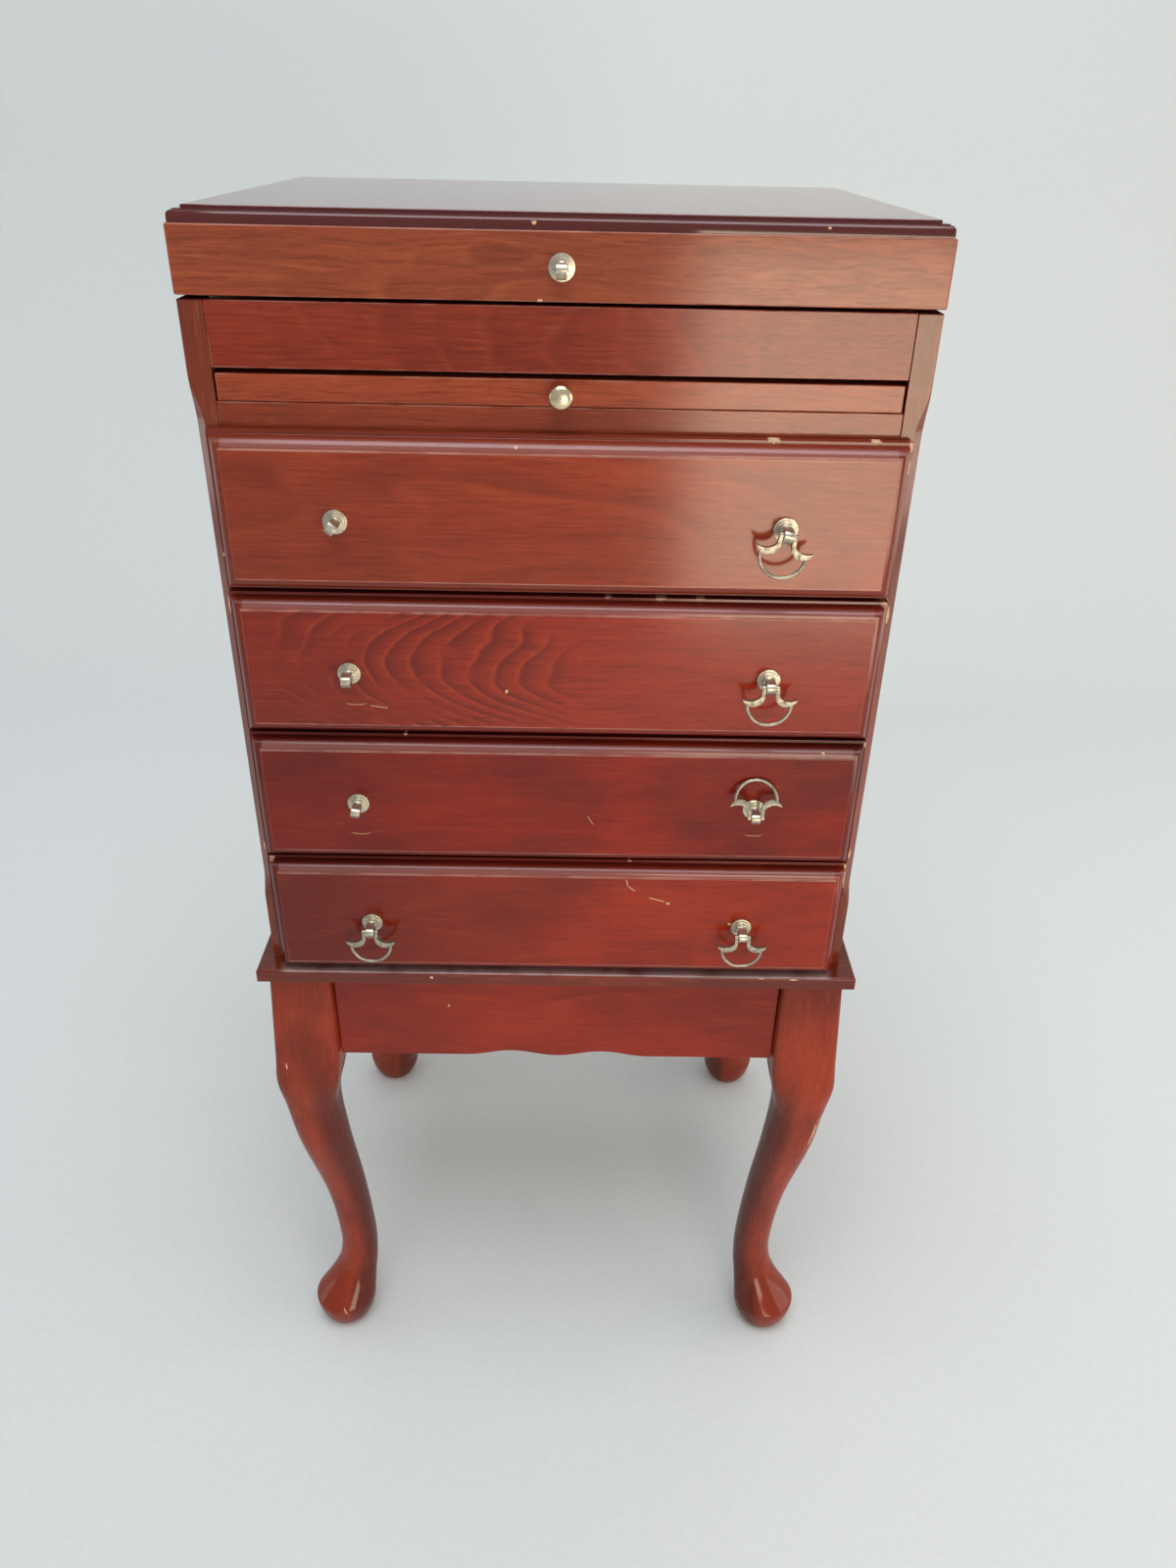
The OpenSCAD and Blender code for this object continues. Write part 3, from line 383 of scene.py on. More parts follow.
# %% The wood material
def mahogany(name, along, seed, warmth=0.25, depth=0.3, figure=None, lines=0.3, spread=1.2, painted_left_shade=0.0,
             wave=0.006, border=None, box=None, inner=0, chips=(), rubs=(), scratches=(), dust_and_light_top=None,
             shaded_sawn_end=None, grain=1.0, gloss=0.9, polish=0.15):
    """A stained board. Warmth turns it from red to brown, depth darkens it, spread sets how strong its
    clouds are, the left-end shade darkens its left end as painted shade, lines sets how strong its figure
    is, wave how far its fibres sway and grain how strong they are. A border (half width, low, high,
    glazing and shade, rubbing and sheen) is a moulding with darker glazing and painted shade, a rubbed
    line and a painted reflection of the sky above the field, a box is a board with rubbed edges, the
    dusty top and the raw end are the heights of a dusty top, lightened as painted light, and of a raw
    end, bare end grain darkened also as painted shade, and inner is the side of a leg, 1 or -1, whose
    painted shade, partly a darker stain, grows towards the middle of the cabinet. Gloss is the weight of
    the lacquer and polish its roughness."""
    paint = Paint(name, Coat_Roughness=polish, Coat_IOR=1.5, Specular_IOR_Level=0.0, Roughness=0.5)
    (u, v, w), place = grain_axes(paint, along)
    x, y, z = place
    dark, body, light = (blend(RED[k], BROWN[k], warmth) for k in ("dark", "body", "light"))

    cloud = paint.noise(u * 7 + seed * 2, v * 15, w * 15, detail=4.0, roughness=0.6)
    sway = (paint.noise(u * 8 + seed, v * 11, w * 11, detail=2.0) - 0.5) * wave + v
    band = paint.noise(u * 14 + seed, sway * 150, w * 150, detail=2.0)
    fibre = paint.noise(u * 34 + seed, sway * 640, w * 640, detail=3.0, roughness=0.65)
    dash = paint.noise(u * 130, sway * 1250, w * 1250 + seed, detail=1.0)

    tone = paint.mix((cloud - 0.5) * spread + (1 - depth), dark, body)
    # painted shade towards the left end, where less of the light from the right reaches
    if painted_left_shade:
        tone = paint.mix(x.ramp(0.04, -0.20) * painted_left_shade, tone, dark)
    # painted shade, partly a darker stain, on the inner side of a leg and under the ledge
    if inner:
        tone = paint.mix(leg_shade_and_stain(x, z, inner), tone, SHADE_AND_STAIN)
    tone = paint.mix(band.ramp(0.50, 0.30) * (BAND * grain), tone, dark)
    tone = paint.mix(fibre.ramp(0.50, 0.30) * (FIBRE * grain), tone, dark)
    tone = paint.mix(fibre.ramp(0.52, 0.74) * (SILK * grain), tone, light)
    tone = paint.mix(dash.ramp(0.56, 0.70) * (DASH * grain), tone, dark)

    worn = paint.noise(x * 28 + seed, y * 28, z * 28, detail=4.0, roughness=0.65).ramp(0.38, 0.60)
    inside = 1.0
    if border:
        tone, inside = moulding(paint, place, tone, worn, border)
    if figure:
        ring, patch = figure[0](paint, u, v, seed, *figure[1:])
        step = (ring + (fibre - 0.5) * 0.35 + (cloud - 0.5) * 0.40).fraction()
        patch = patch * (lines * inside)
        tone = paint.mix(step.ramp(0.70, 0.05) * step.ramp(0.0, 0.06) * patch, tone, dark)
        tone = paint.mix(step.ramp(0.72, 0.90) * step.ramp(1.0, 0.94) * patch * 0.22, tone, light)
    if box:
        tone = paint.mix(arris(place, box).ramp(0.0011, 0.0004) * worn * 0.28, tone, RUBBED)
    # the dusty ledge top, lightened as painted light where the lowest drawer shades it
    if dust_and_light_top is not None:
        dust_and_light_film = paint.noise(x * 40, y * 40, z * 40 + seed, detail=4.0).ramp(0.20, 0.60)
        dust_and_light_film = dust_and_light_film * x.size().ramp(0.205, 0.195) * z.ramp(dust_and_light_top - 0.0012, dust_and_light_top - 0.0006)
        tone = paint.mix(dust_and_light_film * 0.60, tone, DUST_AND_LIGHT)

    coat = dash.ramp(0.62, 0.40) * (PORES * grain * gloss) + (1 - PORES * grain) * gloss
    # the raw end above this height is bare end grain, darkened as well as painted shade in the gap under
    # the lid
    if shaded_sawn_end is not None:
        below = z.ramp(shaded_sawn_end - 0.0003, shaded_sawn_end - 0.0008)
        tone, coat = paint.mix(below, GLAZE_AND_SHADE, tone), coat * below
    bare = bare_wood(paint, place, seed, chips, scratches, rubs)
    if bare is not None:
        tone, coat = paint.mix(bare, tone, BARE), coat * (1 - bare)
    paint.feed(Base_Color=tone, Roughness=cloud * 0.2 + 0.4, Coat_Weight=coat)
    paint.bump(dash * 0.5 + fibre * 0.5, 0.10 * grain, 0.0004)
    return paint.material


# %% [markdown]
# ## Metal, felt and bare wood
# The pulls are cast brass that has gone dull and silvery, with blotches of darker tarnish, and the
# bails are duller than their posts. The slide's knob stays bright. The linings are short felt, and the
# hidden boards are plain sanded wood.

# %% Other finishes
PALE_LATE, PALE_EARLY = (0.40, 0.235, 0.105, 1), (0.62, 0.43, 0.24, 1)


def brass(name, clean, tarnish, amount, roughness):
    """Cast metal with blotches of tarnish, which are rougher than the rest."""
    paint = Paint(name, Metallic=1.0)
    x, y, z = paint.place()
    blotch = paint.noise(x * 420, y * 420, z * 420, detail=4.0, roughness=0.6)
    fine = paint.noise(x * 1800, y * 1800, z * 1800, detail=2.0)
    stain = (blotch * 0.8 + fine * 0.2).ramp(0.46, 0.66)
    paint.feed(Base_Color=paint.mix(stain * amount, clean, tarnish),
               Roughness=stain * 0.18 + fine * 0.10 + roughness)
    paint.bump(fine, 0.08, 0.0002)
    return paint.material


def felt(name, dark, light):
    """A short nap in small tufts."""
    paint = Paint(name, Sheen_Weight=0.15, Sheen_Roughness=0.6)
    x, y, z = paint.place()
    nap = paint.noise(x * 1400, y * 1400, z * 1400, detail=3.0, roughness=0.7)
    tuft = paint.noise(x * 180, y * 180, z * 180, detail=3.0)
    paint.feed(Base_Color=paint.mix(nap * 0.6 + tuft * 0.4, dark, light), Roughness=nap * 0.1 + 0.86)
    paint.bump(nap * 0.7 + tuft * 0.3, 0.5, 0.0008)
    return paint.material


def plain_wood(name, along, seed):
    """Sanded wood with plain rings and short flecks."""
    paint = Paint(name)
    (u, v, w), _ = grain_axes(paint, along)
    drift = paint.noise(u * 4 + seed, v * 12, w * 12, detail=3.0) - 0.5
    ring = ((v + w * 0.7 + drift * 0.06) * 130).fraction()
    fleck = paint.noise(u * 35, v * 700, w * 700 + seed, detail=2.0)
    tone = paint.mix(ring.ramp(0.35, 0.95) * 0.40, PALE_EARLY, PALE_LATE)
    tone = paint.mix(fleck.ramp(0.52, 0.75) * 0.4, tone, PALE_LATE)
    paint.feed(Base_Color=tone, Roughness=fleck * 0.2 + 0.50)
    paint.bump(fleck, 0.12, 0.0004)
    return paint.material


antique_brass = brass("antique_brass", clean=(0.62, 0.57, 0.45, 1), tarnish=(0.19, 0.16, 0.11, 1),
                      amount=0.55, roughness=0.30)
dull_brass = brass("dull_brass", clean=(0.44, 0.41, 0.33, 1), tarnish=(0.12, 0.10, 0.075, 1),
                   amount=0.65, roughness=0.36)
bright_brass = brass("bright_brass", clean=(0.78, 0.66, 0.42, 1), tarnish=(0.38, 0.29, 0.15, 1),
                     amount=0.35, roughness=0.17)
wine_felt = felt("wine_felt", dark=(0.045, 0.004, 0.008, 1), light=(0.15, 0.016, 0.028, 1))
pale_along_x = plain_wood("pale_wood_across", "X", seed=3.0)
pale_along_y = plain_wood("pale_wood_deep", "Y", seed=7.0)
screw_steel = brass("screw_steel", clean=(0.55, 0.54, 0.52, 1), tarnish=(0.18, 0.15, 0.12, 1),
                    amount=0.5, roughness=0.30)
print("finishes so far:", [material.name for material in bpy.data.materials])

# %% [markdown]
# ## Softening the solids
# No real edge is perfectly sharp: sanding and lacquer round it, and that thin rounding is what
# catches the light. The CAD meshes stay as they are. Weld, Bevel and a small Geometry Nodes tree
# that shades by angle sit on top of them as modifiers. Weighted normals come last: they keep the
# broad faces flat, so that a board mirrors the light as a board and not as a cushion. Cast metal
# goes without them.

# %% Edge softening
EDGE = {   # how wide the rounding of each kind of edge is, in metres
    "board": 0.0006, "lid_frame": 0.0009, "lid_moulding": 0.0004, "front": 0.0003, "ledge": 0.0005,
    "hidden": 0.0004, "panel": 0.0003, "post": 0.0007, "bail": 0.0009, "fine": 0.0002}
SMOOTH_ANGLE, BEVEL_ANGLE = math.radians(32), math.radians(38)


def shade_by_angle():
    """A node tree that shades smooth, except across edges that turn more than its Angle."""
    tree = bpy.data.node_groups.new("shade_by_angle", "GeometryNodeTree")
    tree.interface.new_socket("Geometry", in_out="INPUT", socket_type="NodeSocketGeometry")
    angle = tree.interface.new_socket("Angle", in_out="INPUT", socket_type="NodeSocketFloat")
    angle.default_value = SMOOTH_ANGLE
    tree.interface.new_socket("Geometry", in_out="OUTPUT", socket_type="NodeSocketGeometry")
    start, end = tree.nodes.new("NodeGroupInput"), tree.nodes.new("NodeGroupOutput")
    faces, edges = (tree.nodes.new("GeometryNodeSetShadeSmooth") for _ in range(2))
    faces.domain, edges.domain = "FACE", "EDGE"
    edges.inputs["Shade Smooth"].default_value = False
    bend = tree.nodes.new("GeometryNodeInputMeshEdgeAngle")
    sharp = tree.nodes.new("ShaderNodeMath")
    sharp.operation = "GREATER_THAN"
    for a, b in ((start.outputs["Geometry"], faces.inputs["Geometry"]),
                 (faces.outputs["Geometry"], edges.inputs["Geometry"]),
                 (bend.outputs[0], sharp.inputs[0]), (start.outputs["Angle"], sharp.inputs[1]),
                 (sharp.outputs[0], edges.inputs["Selection"]),
                 (edges.outputs["Geometry"], end.inputs["Geometry"])):
        tree.links.new(a, b)
    return tree


ANGLE_SHADING = shade_by_angle()


def soften(piece, width, segments=2, flat=True):
    """Rounded edges and smooth shading, as modifiers on a CAD mesh."""
    weld = piece.modifiers.new("weld", "WELD")
    weld.merge_threshold = 1e-6
    bevel = piece.modifiers.new("soft_edges", "BEVEL")
    bevel.width, bevel.segments = width, segments
    bevel.limit_method, bevel.angle_limit = "ANGLE", BEVEL_ANGLE
    piece.modifiers.new("shading", "NODES").node_group = ANGLE_SHADING
    if flat:
        broad = piece.modifiers.new("flat_faces", "WEIGHTED_NORMAL")
        broad.mode, broad.weight, broad.keep_sharp = "FACE_AREA", 100, True


def dress(node, material, width=EDGE["board"], segments=2, flat=True):
    """Gives a CAD node its finish and softens its edges."""
    piece = nodes[node]
    if piece.material_slots:
        piece.material_slots[0].material = material
    else:
        piece.data.materials.append(material)
    soften(piece, width, segments, flat)


# %% [markdown]
# ## The boards of the chest
# Every board gets its own seed, so that no two share a figure. The upper boards are browner and
# the lower ones redder, as on the real piece.

# %% Chest boards
def field_of(node, margin):
    """Half width, lower edge and upper edge of the raised field of a moulded front."""
    low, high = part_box(node)
    return high.x - margin, low.z + margin, high.z - margin


slab_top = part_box("lid_top")[1].z
slab_border = (1.0, slab_top - 0.0005, slab_top + 0.02, 0.8, 0.0)   # all of the edge below the top
slab_chips = [((-0.0149, 0.9175), (0.0016, 0.0010)), ((0.142, 0.9178), (0.0012, 0.0006))]
dress("lid_top", mahogany(
    "lid_top_wood", "X", seed=1.0, warmth=0.0, depth=1.2, spread=0.2, border=slab_border,
    chips=slab_chips, grain=0.2, gloss=1.0, polish=0.05), EDGE["lid_moulding"])
dress("lid_front", mahogany(
    "lid_front_wood", "X", seed=2.0, warmth=1.0, depth=0.20, figure=(contours, 6, 26, 11), lines=0.30,
    spread=0.8, wave=0.016, box=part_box("lid_front"), chips=[((-0.012, 0.8793), (0.0017, 0.0009))],
    grain=1.1), EDGE["lid_frame"], 3)
dress("lid_sides", mahogany(
    "lid_side_wood", "Y", seed=3.0, warmth=0.8, depth=0.2, figure=(contours, 6, 26, 9), wave=0.016))
dress("lid_back", mahogany("lid_back_wood", "X", seed=4.0, warmth=0.6))
dress("hinge_rail", mahogany("hinge_rail_wood", "X", seed=5.0, warmth=0.5))
dress("front_panel", mahogany(
    "front_panel_wood", "X", seed=6.0, warmth=0.40, depth=0.40, lines=0.25, spread=1.0,
    figure=(arches, 0.862, 14, 0.034, (-0.17, 0.17)), box=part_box("front_panel")))
dress("slide_board", mahogany(
    "slide_wood", "X", seed=7.0, warmth=0.85, depth=0.0, spread=0.8, box=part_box("slide_board")))
dress("divider_rail", mahogany(
    "rail_wood", "X", seed=8.0, warmth=0.75, depth=0.35, box=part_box("divider_rail")))
dress("back_panel", mahogany("back_wood", "Z", seed=9.0, warmth=0.5, gloss=0.4), EDGE["hidden"])
CHAMFER_X = 0.2055
for side, sign, seed in (("left", -1, 10.0), ("right", 1, 11.5)):
    dress(f"side_panel_{side}", mahogany(
        f"side_{side}_wood", "Z", seed, warmth=0.85, depth=0.75, figure=(contours, 3, 9, 9), gloss=1.0,
        shaded_sawn_end=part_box(f"side_panel_{side}")[1].z,
        chips=[((sign * CHAMFER_X, 0.70), (0.0012, 0.006)), ((sign * CHAMFER_X, 0.52), (0.0010, 0.004))]))

# %% Drawer fronts
# the front glazing is partly painted shade, and the front rubbing also sets the painted reflection above
# the field
MOULDING, FRONT_GLAZE_AND_SHADE, FRONT_RUB_AND_SHEEN = 0.0085, 0.45, 0.55
FRONT_CHIPS = {
    1: [((0.1223, 0.8080), (0.0040, 0.0013)), ((0.1812, 0.8083), (0.0030, 0.0010)),
        ((0.2015, 0.8062), (0.0014, 0.0026)), ((0.2022, 0.7938), (0.0008, 0.0050)),
        ((-0.0250, 0.8035), (0.0012, 0.0010)), ((-0.2022, 0.7350), (0.0008, 0.0016))],
    2: [((0.0627, 0.7113), (0.0042, 0.0012)), ((0.0868, 0.7115), (0.0030, 0.0009)),
        ((0.1996, 0.7105), (0.0022, 0.0014)), ((-0.0328, 0.6513), (0.0011, 0.0014)),
        ((0.0300, 0.7116), (0.0022, 0.0007))],
    3: [((0.1733, 0.6095), (0.0012, 0.0010)), ((-0.1000, 0.6146), (0.0014, 0.0008)),
        ((0.2020, 0.6120), (0.0010, 0.0020)), ((0.1400, 0.5225), (0.0020, 0.0008))],
    4: [((0.2012, 0.5155), (0.0012, 0.0022)), ((0.2022, 0.5050), (0.0009, 0.0085)),
        ((-0.1990, 0.5165), (0.0024, 0.0011)), ((0.0500, 0.5175), (0.0016, 0.0008)),
        ((0.1225, 0.4712), (0.0012, 0.0010)), ((0.0780, 0.4885), (0.0016, 0.0010))],
}
FRONT_RUBS = {
    2: [((-0.1285, 0.6620), 0.0215, 0.0080)],
    3: [((-0.1330, 0.5645), 0.0215, 0.0080), ((0.1330, 0.5665), 0.0205, 0.0070)],
    4: [((-0.1320, 0.4730), 0.0190, 0.0080)],
}
FRONT_SCRATCHES = {
    2: [((-0.120, 0.6400), (-0.108, 0.6385), 0.0004)],
    3: [((0.020, 0.5600), (0.024, 0.5530), 0.0003)],
    4: [((0.0480, 0.5085), (0.0492, 0.5030), 0.0005), ((0.0492, 0.5030), (0.0545, 0.4985), 0.0005),
        ((0.0640, 0.4933), (0.0760, 0.4898), 0.0006)],
}
# the darker left end in this table is painted shade
FRONT_WOOD = {   # seed, warmth, depth, figure and its strength, clouds, darker left end, grain, gloss
    1: (12.0, 0.55, 0.12, (contours, 4, 11, 6), 0.35, 0.9, 0.20, 0.80, 0.86),
    2: (13.3, 0.12, 0.15, (arches, 0.672, 30, 0.0170, (-0.190, 0.03)), 0.72, 1.4, 0.45, 0.80, 0.90),
    3: (14.9, 0.00, 0.62, (contours, 4, 10, 5), 0.12, 2.8, 0.45, 0.65, 0.70),
    4: (16.1, 0.15, 0.12, (contours, 4, 10, 6), 0.15, 2.4, 0.95, 0.65, 0.70),
}
for number in DRAWERS:
    seed, warmth, depth, figure, lines, spread, painted_left_shade, grain, gloss = FRONT_WOOD[number]
    dress(f"drawer_{number}_front", mahogany(
        f"drawer_{number}_wood", "X", seed, warmth, depth, figure, lines, spread, painted_left_shade,
        border=(*field_of(f"drawer_{number}_front", MOULDING), FRONT_GLAZE_AND_SHADE, FRONT_RUB_AND_SHEEN),
        chips=FRONT_CHIPS[number], rubs=FRONT_RUBS.get(number, ()),
        scratches=FRONT_SCRATCHES.get(number, ()), grain=grain, gloss=gloss), EDGE["front"])
    for part in ("back", "bottom"):
        dress(f"drawer_{number}_{part}", pale_along_x, EDGE["hidden"])
    dress(f"drawer_{number}_sides", pale_along_y, EDGE["hidden"])
for node in ("well_floor", "bottom_panel"):
    dress(node, pale_along_x, EDGE["panel"])
for node in ("slide_bearers", "drawer_runners", "corner_blocks"):
    dress(node, pale_along_y, EDGE["hidden"])

# %% Base boards
ledge_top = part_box("stand_top")[1].z
dress("stand_top", mahogany(
    "ledge_wood", "X", seed=17.0, warmth=0.50, depth=0.95, dust_and_light_top=ledge_top,
    chips=[((-0.0918, 0.4185), (0.0013, 0.0020)), ((0.1746, 0.4205), (0.0030, 0.0007)),
           ((0.150, 0.4212), (0.0022, 0.0005))]), EDGE["ledge"])
dress("apron_front", mahogany(
    "apron_wood", "X", seed=18.2, warmth=0.10, depth=0.30, figure=(contours, 5, 16, 9), spread=1.8,
    chips=[((-0.0822, 0.3791), (0.0011, 0.0011))], grain=0.7, gloss=0.7))
dress("plain_aprons", mahogany("plain_apron_wood", "XY", seed=19.0, warmth=0.2))
print("boards dressed:", len([n for n in nodes.values() if n.modifiers]))

# %% [markdown]
# ## The cabriole legs
# The leg is the piece a cabinet maker is judged by. It is one smooth loft: a rounded square at
# the apron, a swelling knee, a hollow under its shoulder, a slim ankle that leans in and a pad
# foot with a crisp rim. Above the foot it follows the sections of the solid, and at the foot it has
# more of them, for a smooth bowl. It also has many more sides and rings than the solid, closest
# together at the foot, so the lacquer's highlight runs down the leg without facets.

# %% Leg loft
LEG_HEIGHT, LEG_X, LEG_FRONT_Y, LEG_BACK_Y = 0.4120, 0.191, FRONT + 0.0125, FRONT + 0.3210
LEG_SECTIONS = [   # height, outward shift, half width, squareness
    (0.0, 0.0015, 0.01750, 2.0), (0.0040, 0.0015, 0.02060, 2.0), (0.0110, 0.0015, 0.02390, 2.0),
    (0.0190, 0.0015, 0.02600, 2.0), (0.0250, 0.0015, 0.02665, 2.0), (0.0265, 0.0014, 0.02665, 2.0),
    (0.0275, 0.0010, 0.02630, 2.0), (0.0450, -0.0062, 0.02000, 2.0), (0.0620, -0.0110, 0.01675, 2.0),
    (0.0900, -0.0125, 0.01550, 2.2), (0.1550, -0.0080, 0.01600, 2.4), (0.2300, 0.0020, 0.01975, 2.5),
    (0.2780, 0.0056, 0.02040, 3.8), (0.3060, 0.0043, 0.02460, 5.8), (0.3296, 0.0022, 0.02470, 10.0),
    (0.4120, 0.0, 0.02250, 14.0)]
LEG_SIDES, LEG_RINGS, LEG_CROWDING, RIM_ANGLE = 96, 170, 1.4, math.radians(40)


def leg_section(height):
    """Shift, half width and squareness at a height, on a smooth curve through the sections."""
    last = len(LEG_SECTIONS) - 1
    i = next((k for k in range(last - 1) if height < LEG_SECTIONS[k + 1][0]), last - 1)

    def at(k):
        return LEG_SECTIONS[min(max(k, 0), last)]

    def slope(k, c):
        return (at(k + 1)[c] - at(k - 1)[c]) / (at(k + 1)[0] - at(k - 1)[0])

    a, b = at(i), at(i + 1)
    d = b[0] - a[0]
    t = (height - a[0]) / d
    return [a[c] * (1 + 2 * t) * (1 - t) ** 2 + b[c] * t * t * (3 - 2 * t)
            + slope(i, c) * d * t * (1 - t) ** 2 - slope(i + 1, c) * d * t * t * (1 - t) for c in (1, 2, 3)]


def leg_ring(shift, half, square):
    """The points of one section: a circle at a squareness of 2, nearly a square at 14."""
    points = []
    for k in range(LEG_SIDES):
        a = 2 * math.pi * k / LEG_SIDES
        c, s = math.cos(a), math.sin(a)
        r = half / (abs(c) ** square + abs(s) ** square) ** (1 / square)
        points.append((shift + r * c, shift + r * s))
    return points


def leg_mesh(name, side, middle_y, front):
    """One leg in its place; outwards is +x, +y in the section and is turned to its corner here."""
    middle_x = side * LEG_X
    out_x, out_y = side, -1 if front else 1
    heights = [LEG_HEIGHT * (k / LEG_RINGS) ** LEG_CROWDING for k in range(LEG_RINGS + 1)]
    rings = [(height, leg_ring(*leg_section(height))) for height in heights]
    bm = bmesh.new()
    rows = [[bm.verts.new((middle_x + out_x * px, middle_y + out_y * py, height)) for px, py in ring]
            for height, ring in rings]
    for low, high in zip(rows, rows[1:]):
        for k in range(LEG_SIDES):
            j = (k + 1) % LEG_SIDES
            bm.faces.new((low[k], low[j], high[j], high[k]))
    bm.faces.new(rows[0])
    bm.faces.new(rows[-1])
    bmesh.ops.recalc_face_normals(bm, faces=bm.faces)
    for face in bm.faces:
        face.smooth = True
    mesh = bpy.data.meshes.new(name)
    bm.to_mesh(mesh)
    bm.free()
    mesh.set_sharp_from_angle(angle=RIM_ANGLE)
    return mesh


LEG_MARKS = {
    "front_left": {"chips": [((-0.2084, 0.3265), (0.0006, 0.0036))],
                   "scratches": [((-0.1905, 0.0300), (-0.1870, 0.0240), 0.0006)]},
    "front_right": {"scratches": [((0.2203, 0.2888), (0.2103, 0.2679), 0.0007),
                                  ((0.2103, 0.2679), (0.2067, 0.2398), 0.0009),
                                  ((0.2150, 0.2750), (0.2080, 0.2470), 0.0006)]},
    "back_left": {}, "back_right": {}}
for number, (corner, marks) in enumerate(LEG_MARKS.items()):
    front, side = corner.startswith("front"), -1 if corner.endswith("left") else 1
    name, middle_y = f"cabriole_{corner}", LEG_FRONT_Y if front else LEG_BACK_Y
    leg = bpy.data.objects.new(name, leg_mesh(name, side, middle_y, front))
    bpy.context.scene.collection.objects.link(leg)
    leg.data.materials.append(mahogany(
        f"leg_{corner}_wood", "Z", seed=21.0 + number * 2.7, warmth=0.40, depth=0.15, lines=0.2, spread=2.6,
        figure=(contours, 6, 16, 7), inner=side, grain=0.75, gloss=0.62, polish=0.12, **marks))
    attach(leg, "cabinet")
    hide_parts(f"leg_{corner}")
    print(name, len(leg.data.polygons), "faces")

# %% [markdown]
# ## Pulls, knob and hinges
# These small castings keep the shape of the solids. A wider softening turns the cut-out look of
# an extruded horn into something that came out of a mould.

# %% Metal parts
for number in DRAWERS:
    dress(f"drawer_{number}_pulls", antique_brass, EDGE["post"], 3, flat=False)
for node in ("bail_1_right", "bail_2_right", "bail_3_right", "bail_4_left", "bail_4_right"):
    dress(node, dull_brass, EDGE["bail"], 3, flat=False)
dress("lid_pull", antique_brass, EDGE["post"], 3, flat=False)
dress("slide_knob", bright_brass, EDGE["fine"])
for node in ("hinge_lower_leaves", "hinge_upper_leaves", "hinge_pins"):
    dress(node, bright_brass, EDGE["fine"])
print("boards and metal dressed:", len([n for n in nodes.values() if n.modifiers]))

# %% [markdown]
# ## Screws and pins
# Screws repeat, so one Geometry Nodes tree makes them all: it cuts a slot in a low cone, turns
# each head to face out of its board with a random twist, and puts one on every point it is given.

# %% Screw tree
HEAD_SIDES, HEAD_TAPER, SLOT_REACH, TWIST_SEED = 20, 0.72, 2.4, 4


def screw_tree():
    """A tree that puts a slotted head on every point, turned to the point's facing."""
    tree = bpy.data.node_groups.new("slotted_heads", "GeometryNodeTree")
    face = tree.interface
    face.new_socket("Geometry", in_out="INPUT", socket_type="NodeSocketGeometry")
    for name in ("Radius", "Height", "Slot"):
        face.new_socket(name, in_out="INPUT", socket_type="NodeSocketFloat")
    face.new_socket("Material", in_out="INPUT", socket_type="NodeSocketMaterial")
    face.new_socket("Geometry", in_out="OUTPUT", socket_type="NodeSocketGeometry")
    make, link = tree.nodes.new, tree.links.new
    start, end = make("NodeGroupInput"), make("NodeGroupOutput")

    def times(socket, factor):
        node = make("ShaderNodeMath")
        node.operation = "MULTIPLY"
        link(socket, node.inputs[0])
        node.inputs[1].default_value = factor
        return node.outputs[0]

    head = make("GeometryNodeMeshCone")
    head.inputs["Vertices"].default_value = HEAD_SIDES
    link(start.outputs["Radius"], head.inputs["Radius Bottom"])
    link(times(start.outputs["Radius"], HEAD_TAPER), head.inputs["Radius Top"])
    link(start.outputs["Height"], head.inputs["Depth"])
    bar = make("GeometryNodeMeshCube")
    size, lift = (make("ShaderNodeCombineXYZ") for _ in range(2))
    link(times(start.outputs["Radius"], SLOT_REACH), size.inputs[0])
    link(start.outputs["Slot"], size.inputs[1])
    link(start.outputs["Height"], size.inputs[2])
    link(size.outputs[0], bar.inputs["Size"])
    link(start.outputs["Height"], lift.inputs[2])
    raised = make("GeometryNodeTransform")
    link(bar.outputs["Mesh"], raised.inputs["Geometry"])
    link(lift.outputs[0], raised.inputs["Translation"])
    cut = make("GeometryNodeMeshBoolean")
    cut.operation = "DIFFERENCE"
    link(head.outputs["Mesh"], cut.inputs["Mesh 1"])
    link(raised.outputs["Geometry"], cut.inputs["Mesh 2"])

    facing = make("GeometryNodeInputNamedAttribute")
    facing.data_type = "FLOAT_VECTOR"
    facing.inputs["Name"].default_value = "facing"
    aim = make("FunctionNodeAlignRotationToVector")
    aim.axis = "Z"
    link(facing.outputs["Attribute"], aim.inputs["Vector"])
    twist = make("FunctionNodeRandomValue")
    twist.data_type = "FLOAT"
    twist.inputs[3].default_value = math.pi
    twist.inputs["Seed"].default_value = TWIST_SEED
    spin = make("FunctionNodeAxisAngleToRotation")
    spin.inputs["Axis"].default_value = (0, 0, 1)
    link(twist.outputs[1], spin.inputs["Angle"])
    both = make("FunctionNodeRotateRotation")
    both.rotation_space = "LOCAL"
    link(aim.outputs[0], both.inputs[0])
    link(spin.outputs[0], both.inputs[1])

    scatter, real, paint = (make(kind) for kind in (
        "GeometryNodeInstanceOnPoints", "GeometryNodeRealizeInstances", "GeometryNodeSetMaterial"))
    link(start.outputs["Geometry"], scatter.inputs["Points"])
    link(cut.outputs["Mesh"], scatter.inputs["Instance"])
    link(both.outputs[0], scatter.inputs["Rotation"])
    link(scatter.outputs["Instances"], real.inputs["Geometry"])
    link(real.outputs["Geometry"], paint.inputs["Geometry"])
    link(start.outputs["Material"], paint.inputs["Material"])
    link(paint.outputs["Geometry"], end.inputs["Geometry"])
    return tree


SCREWS = screw_tree()


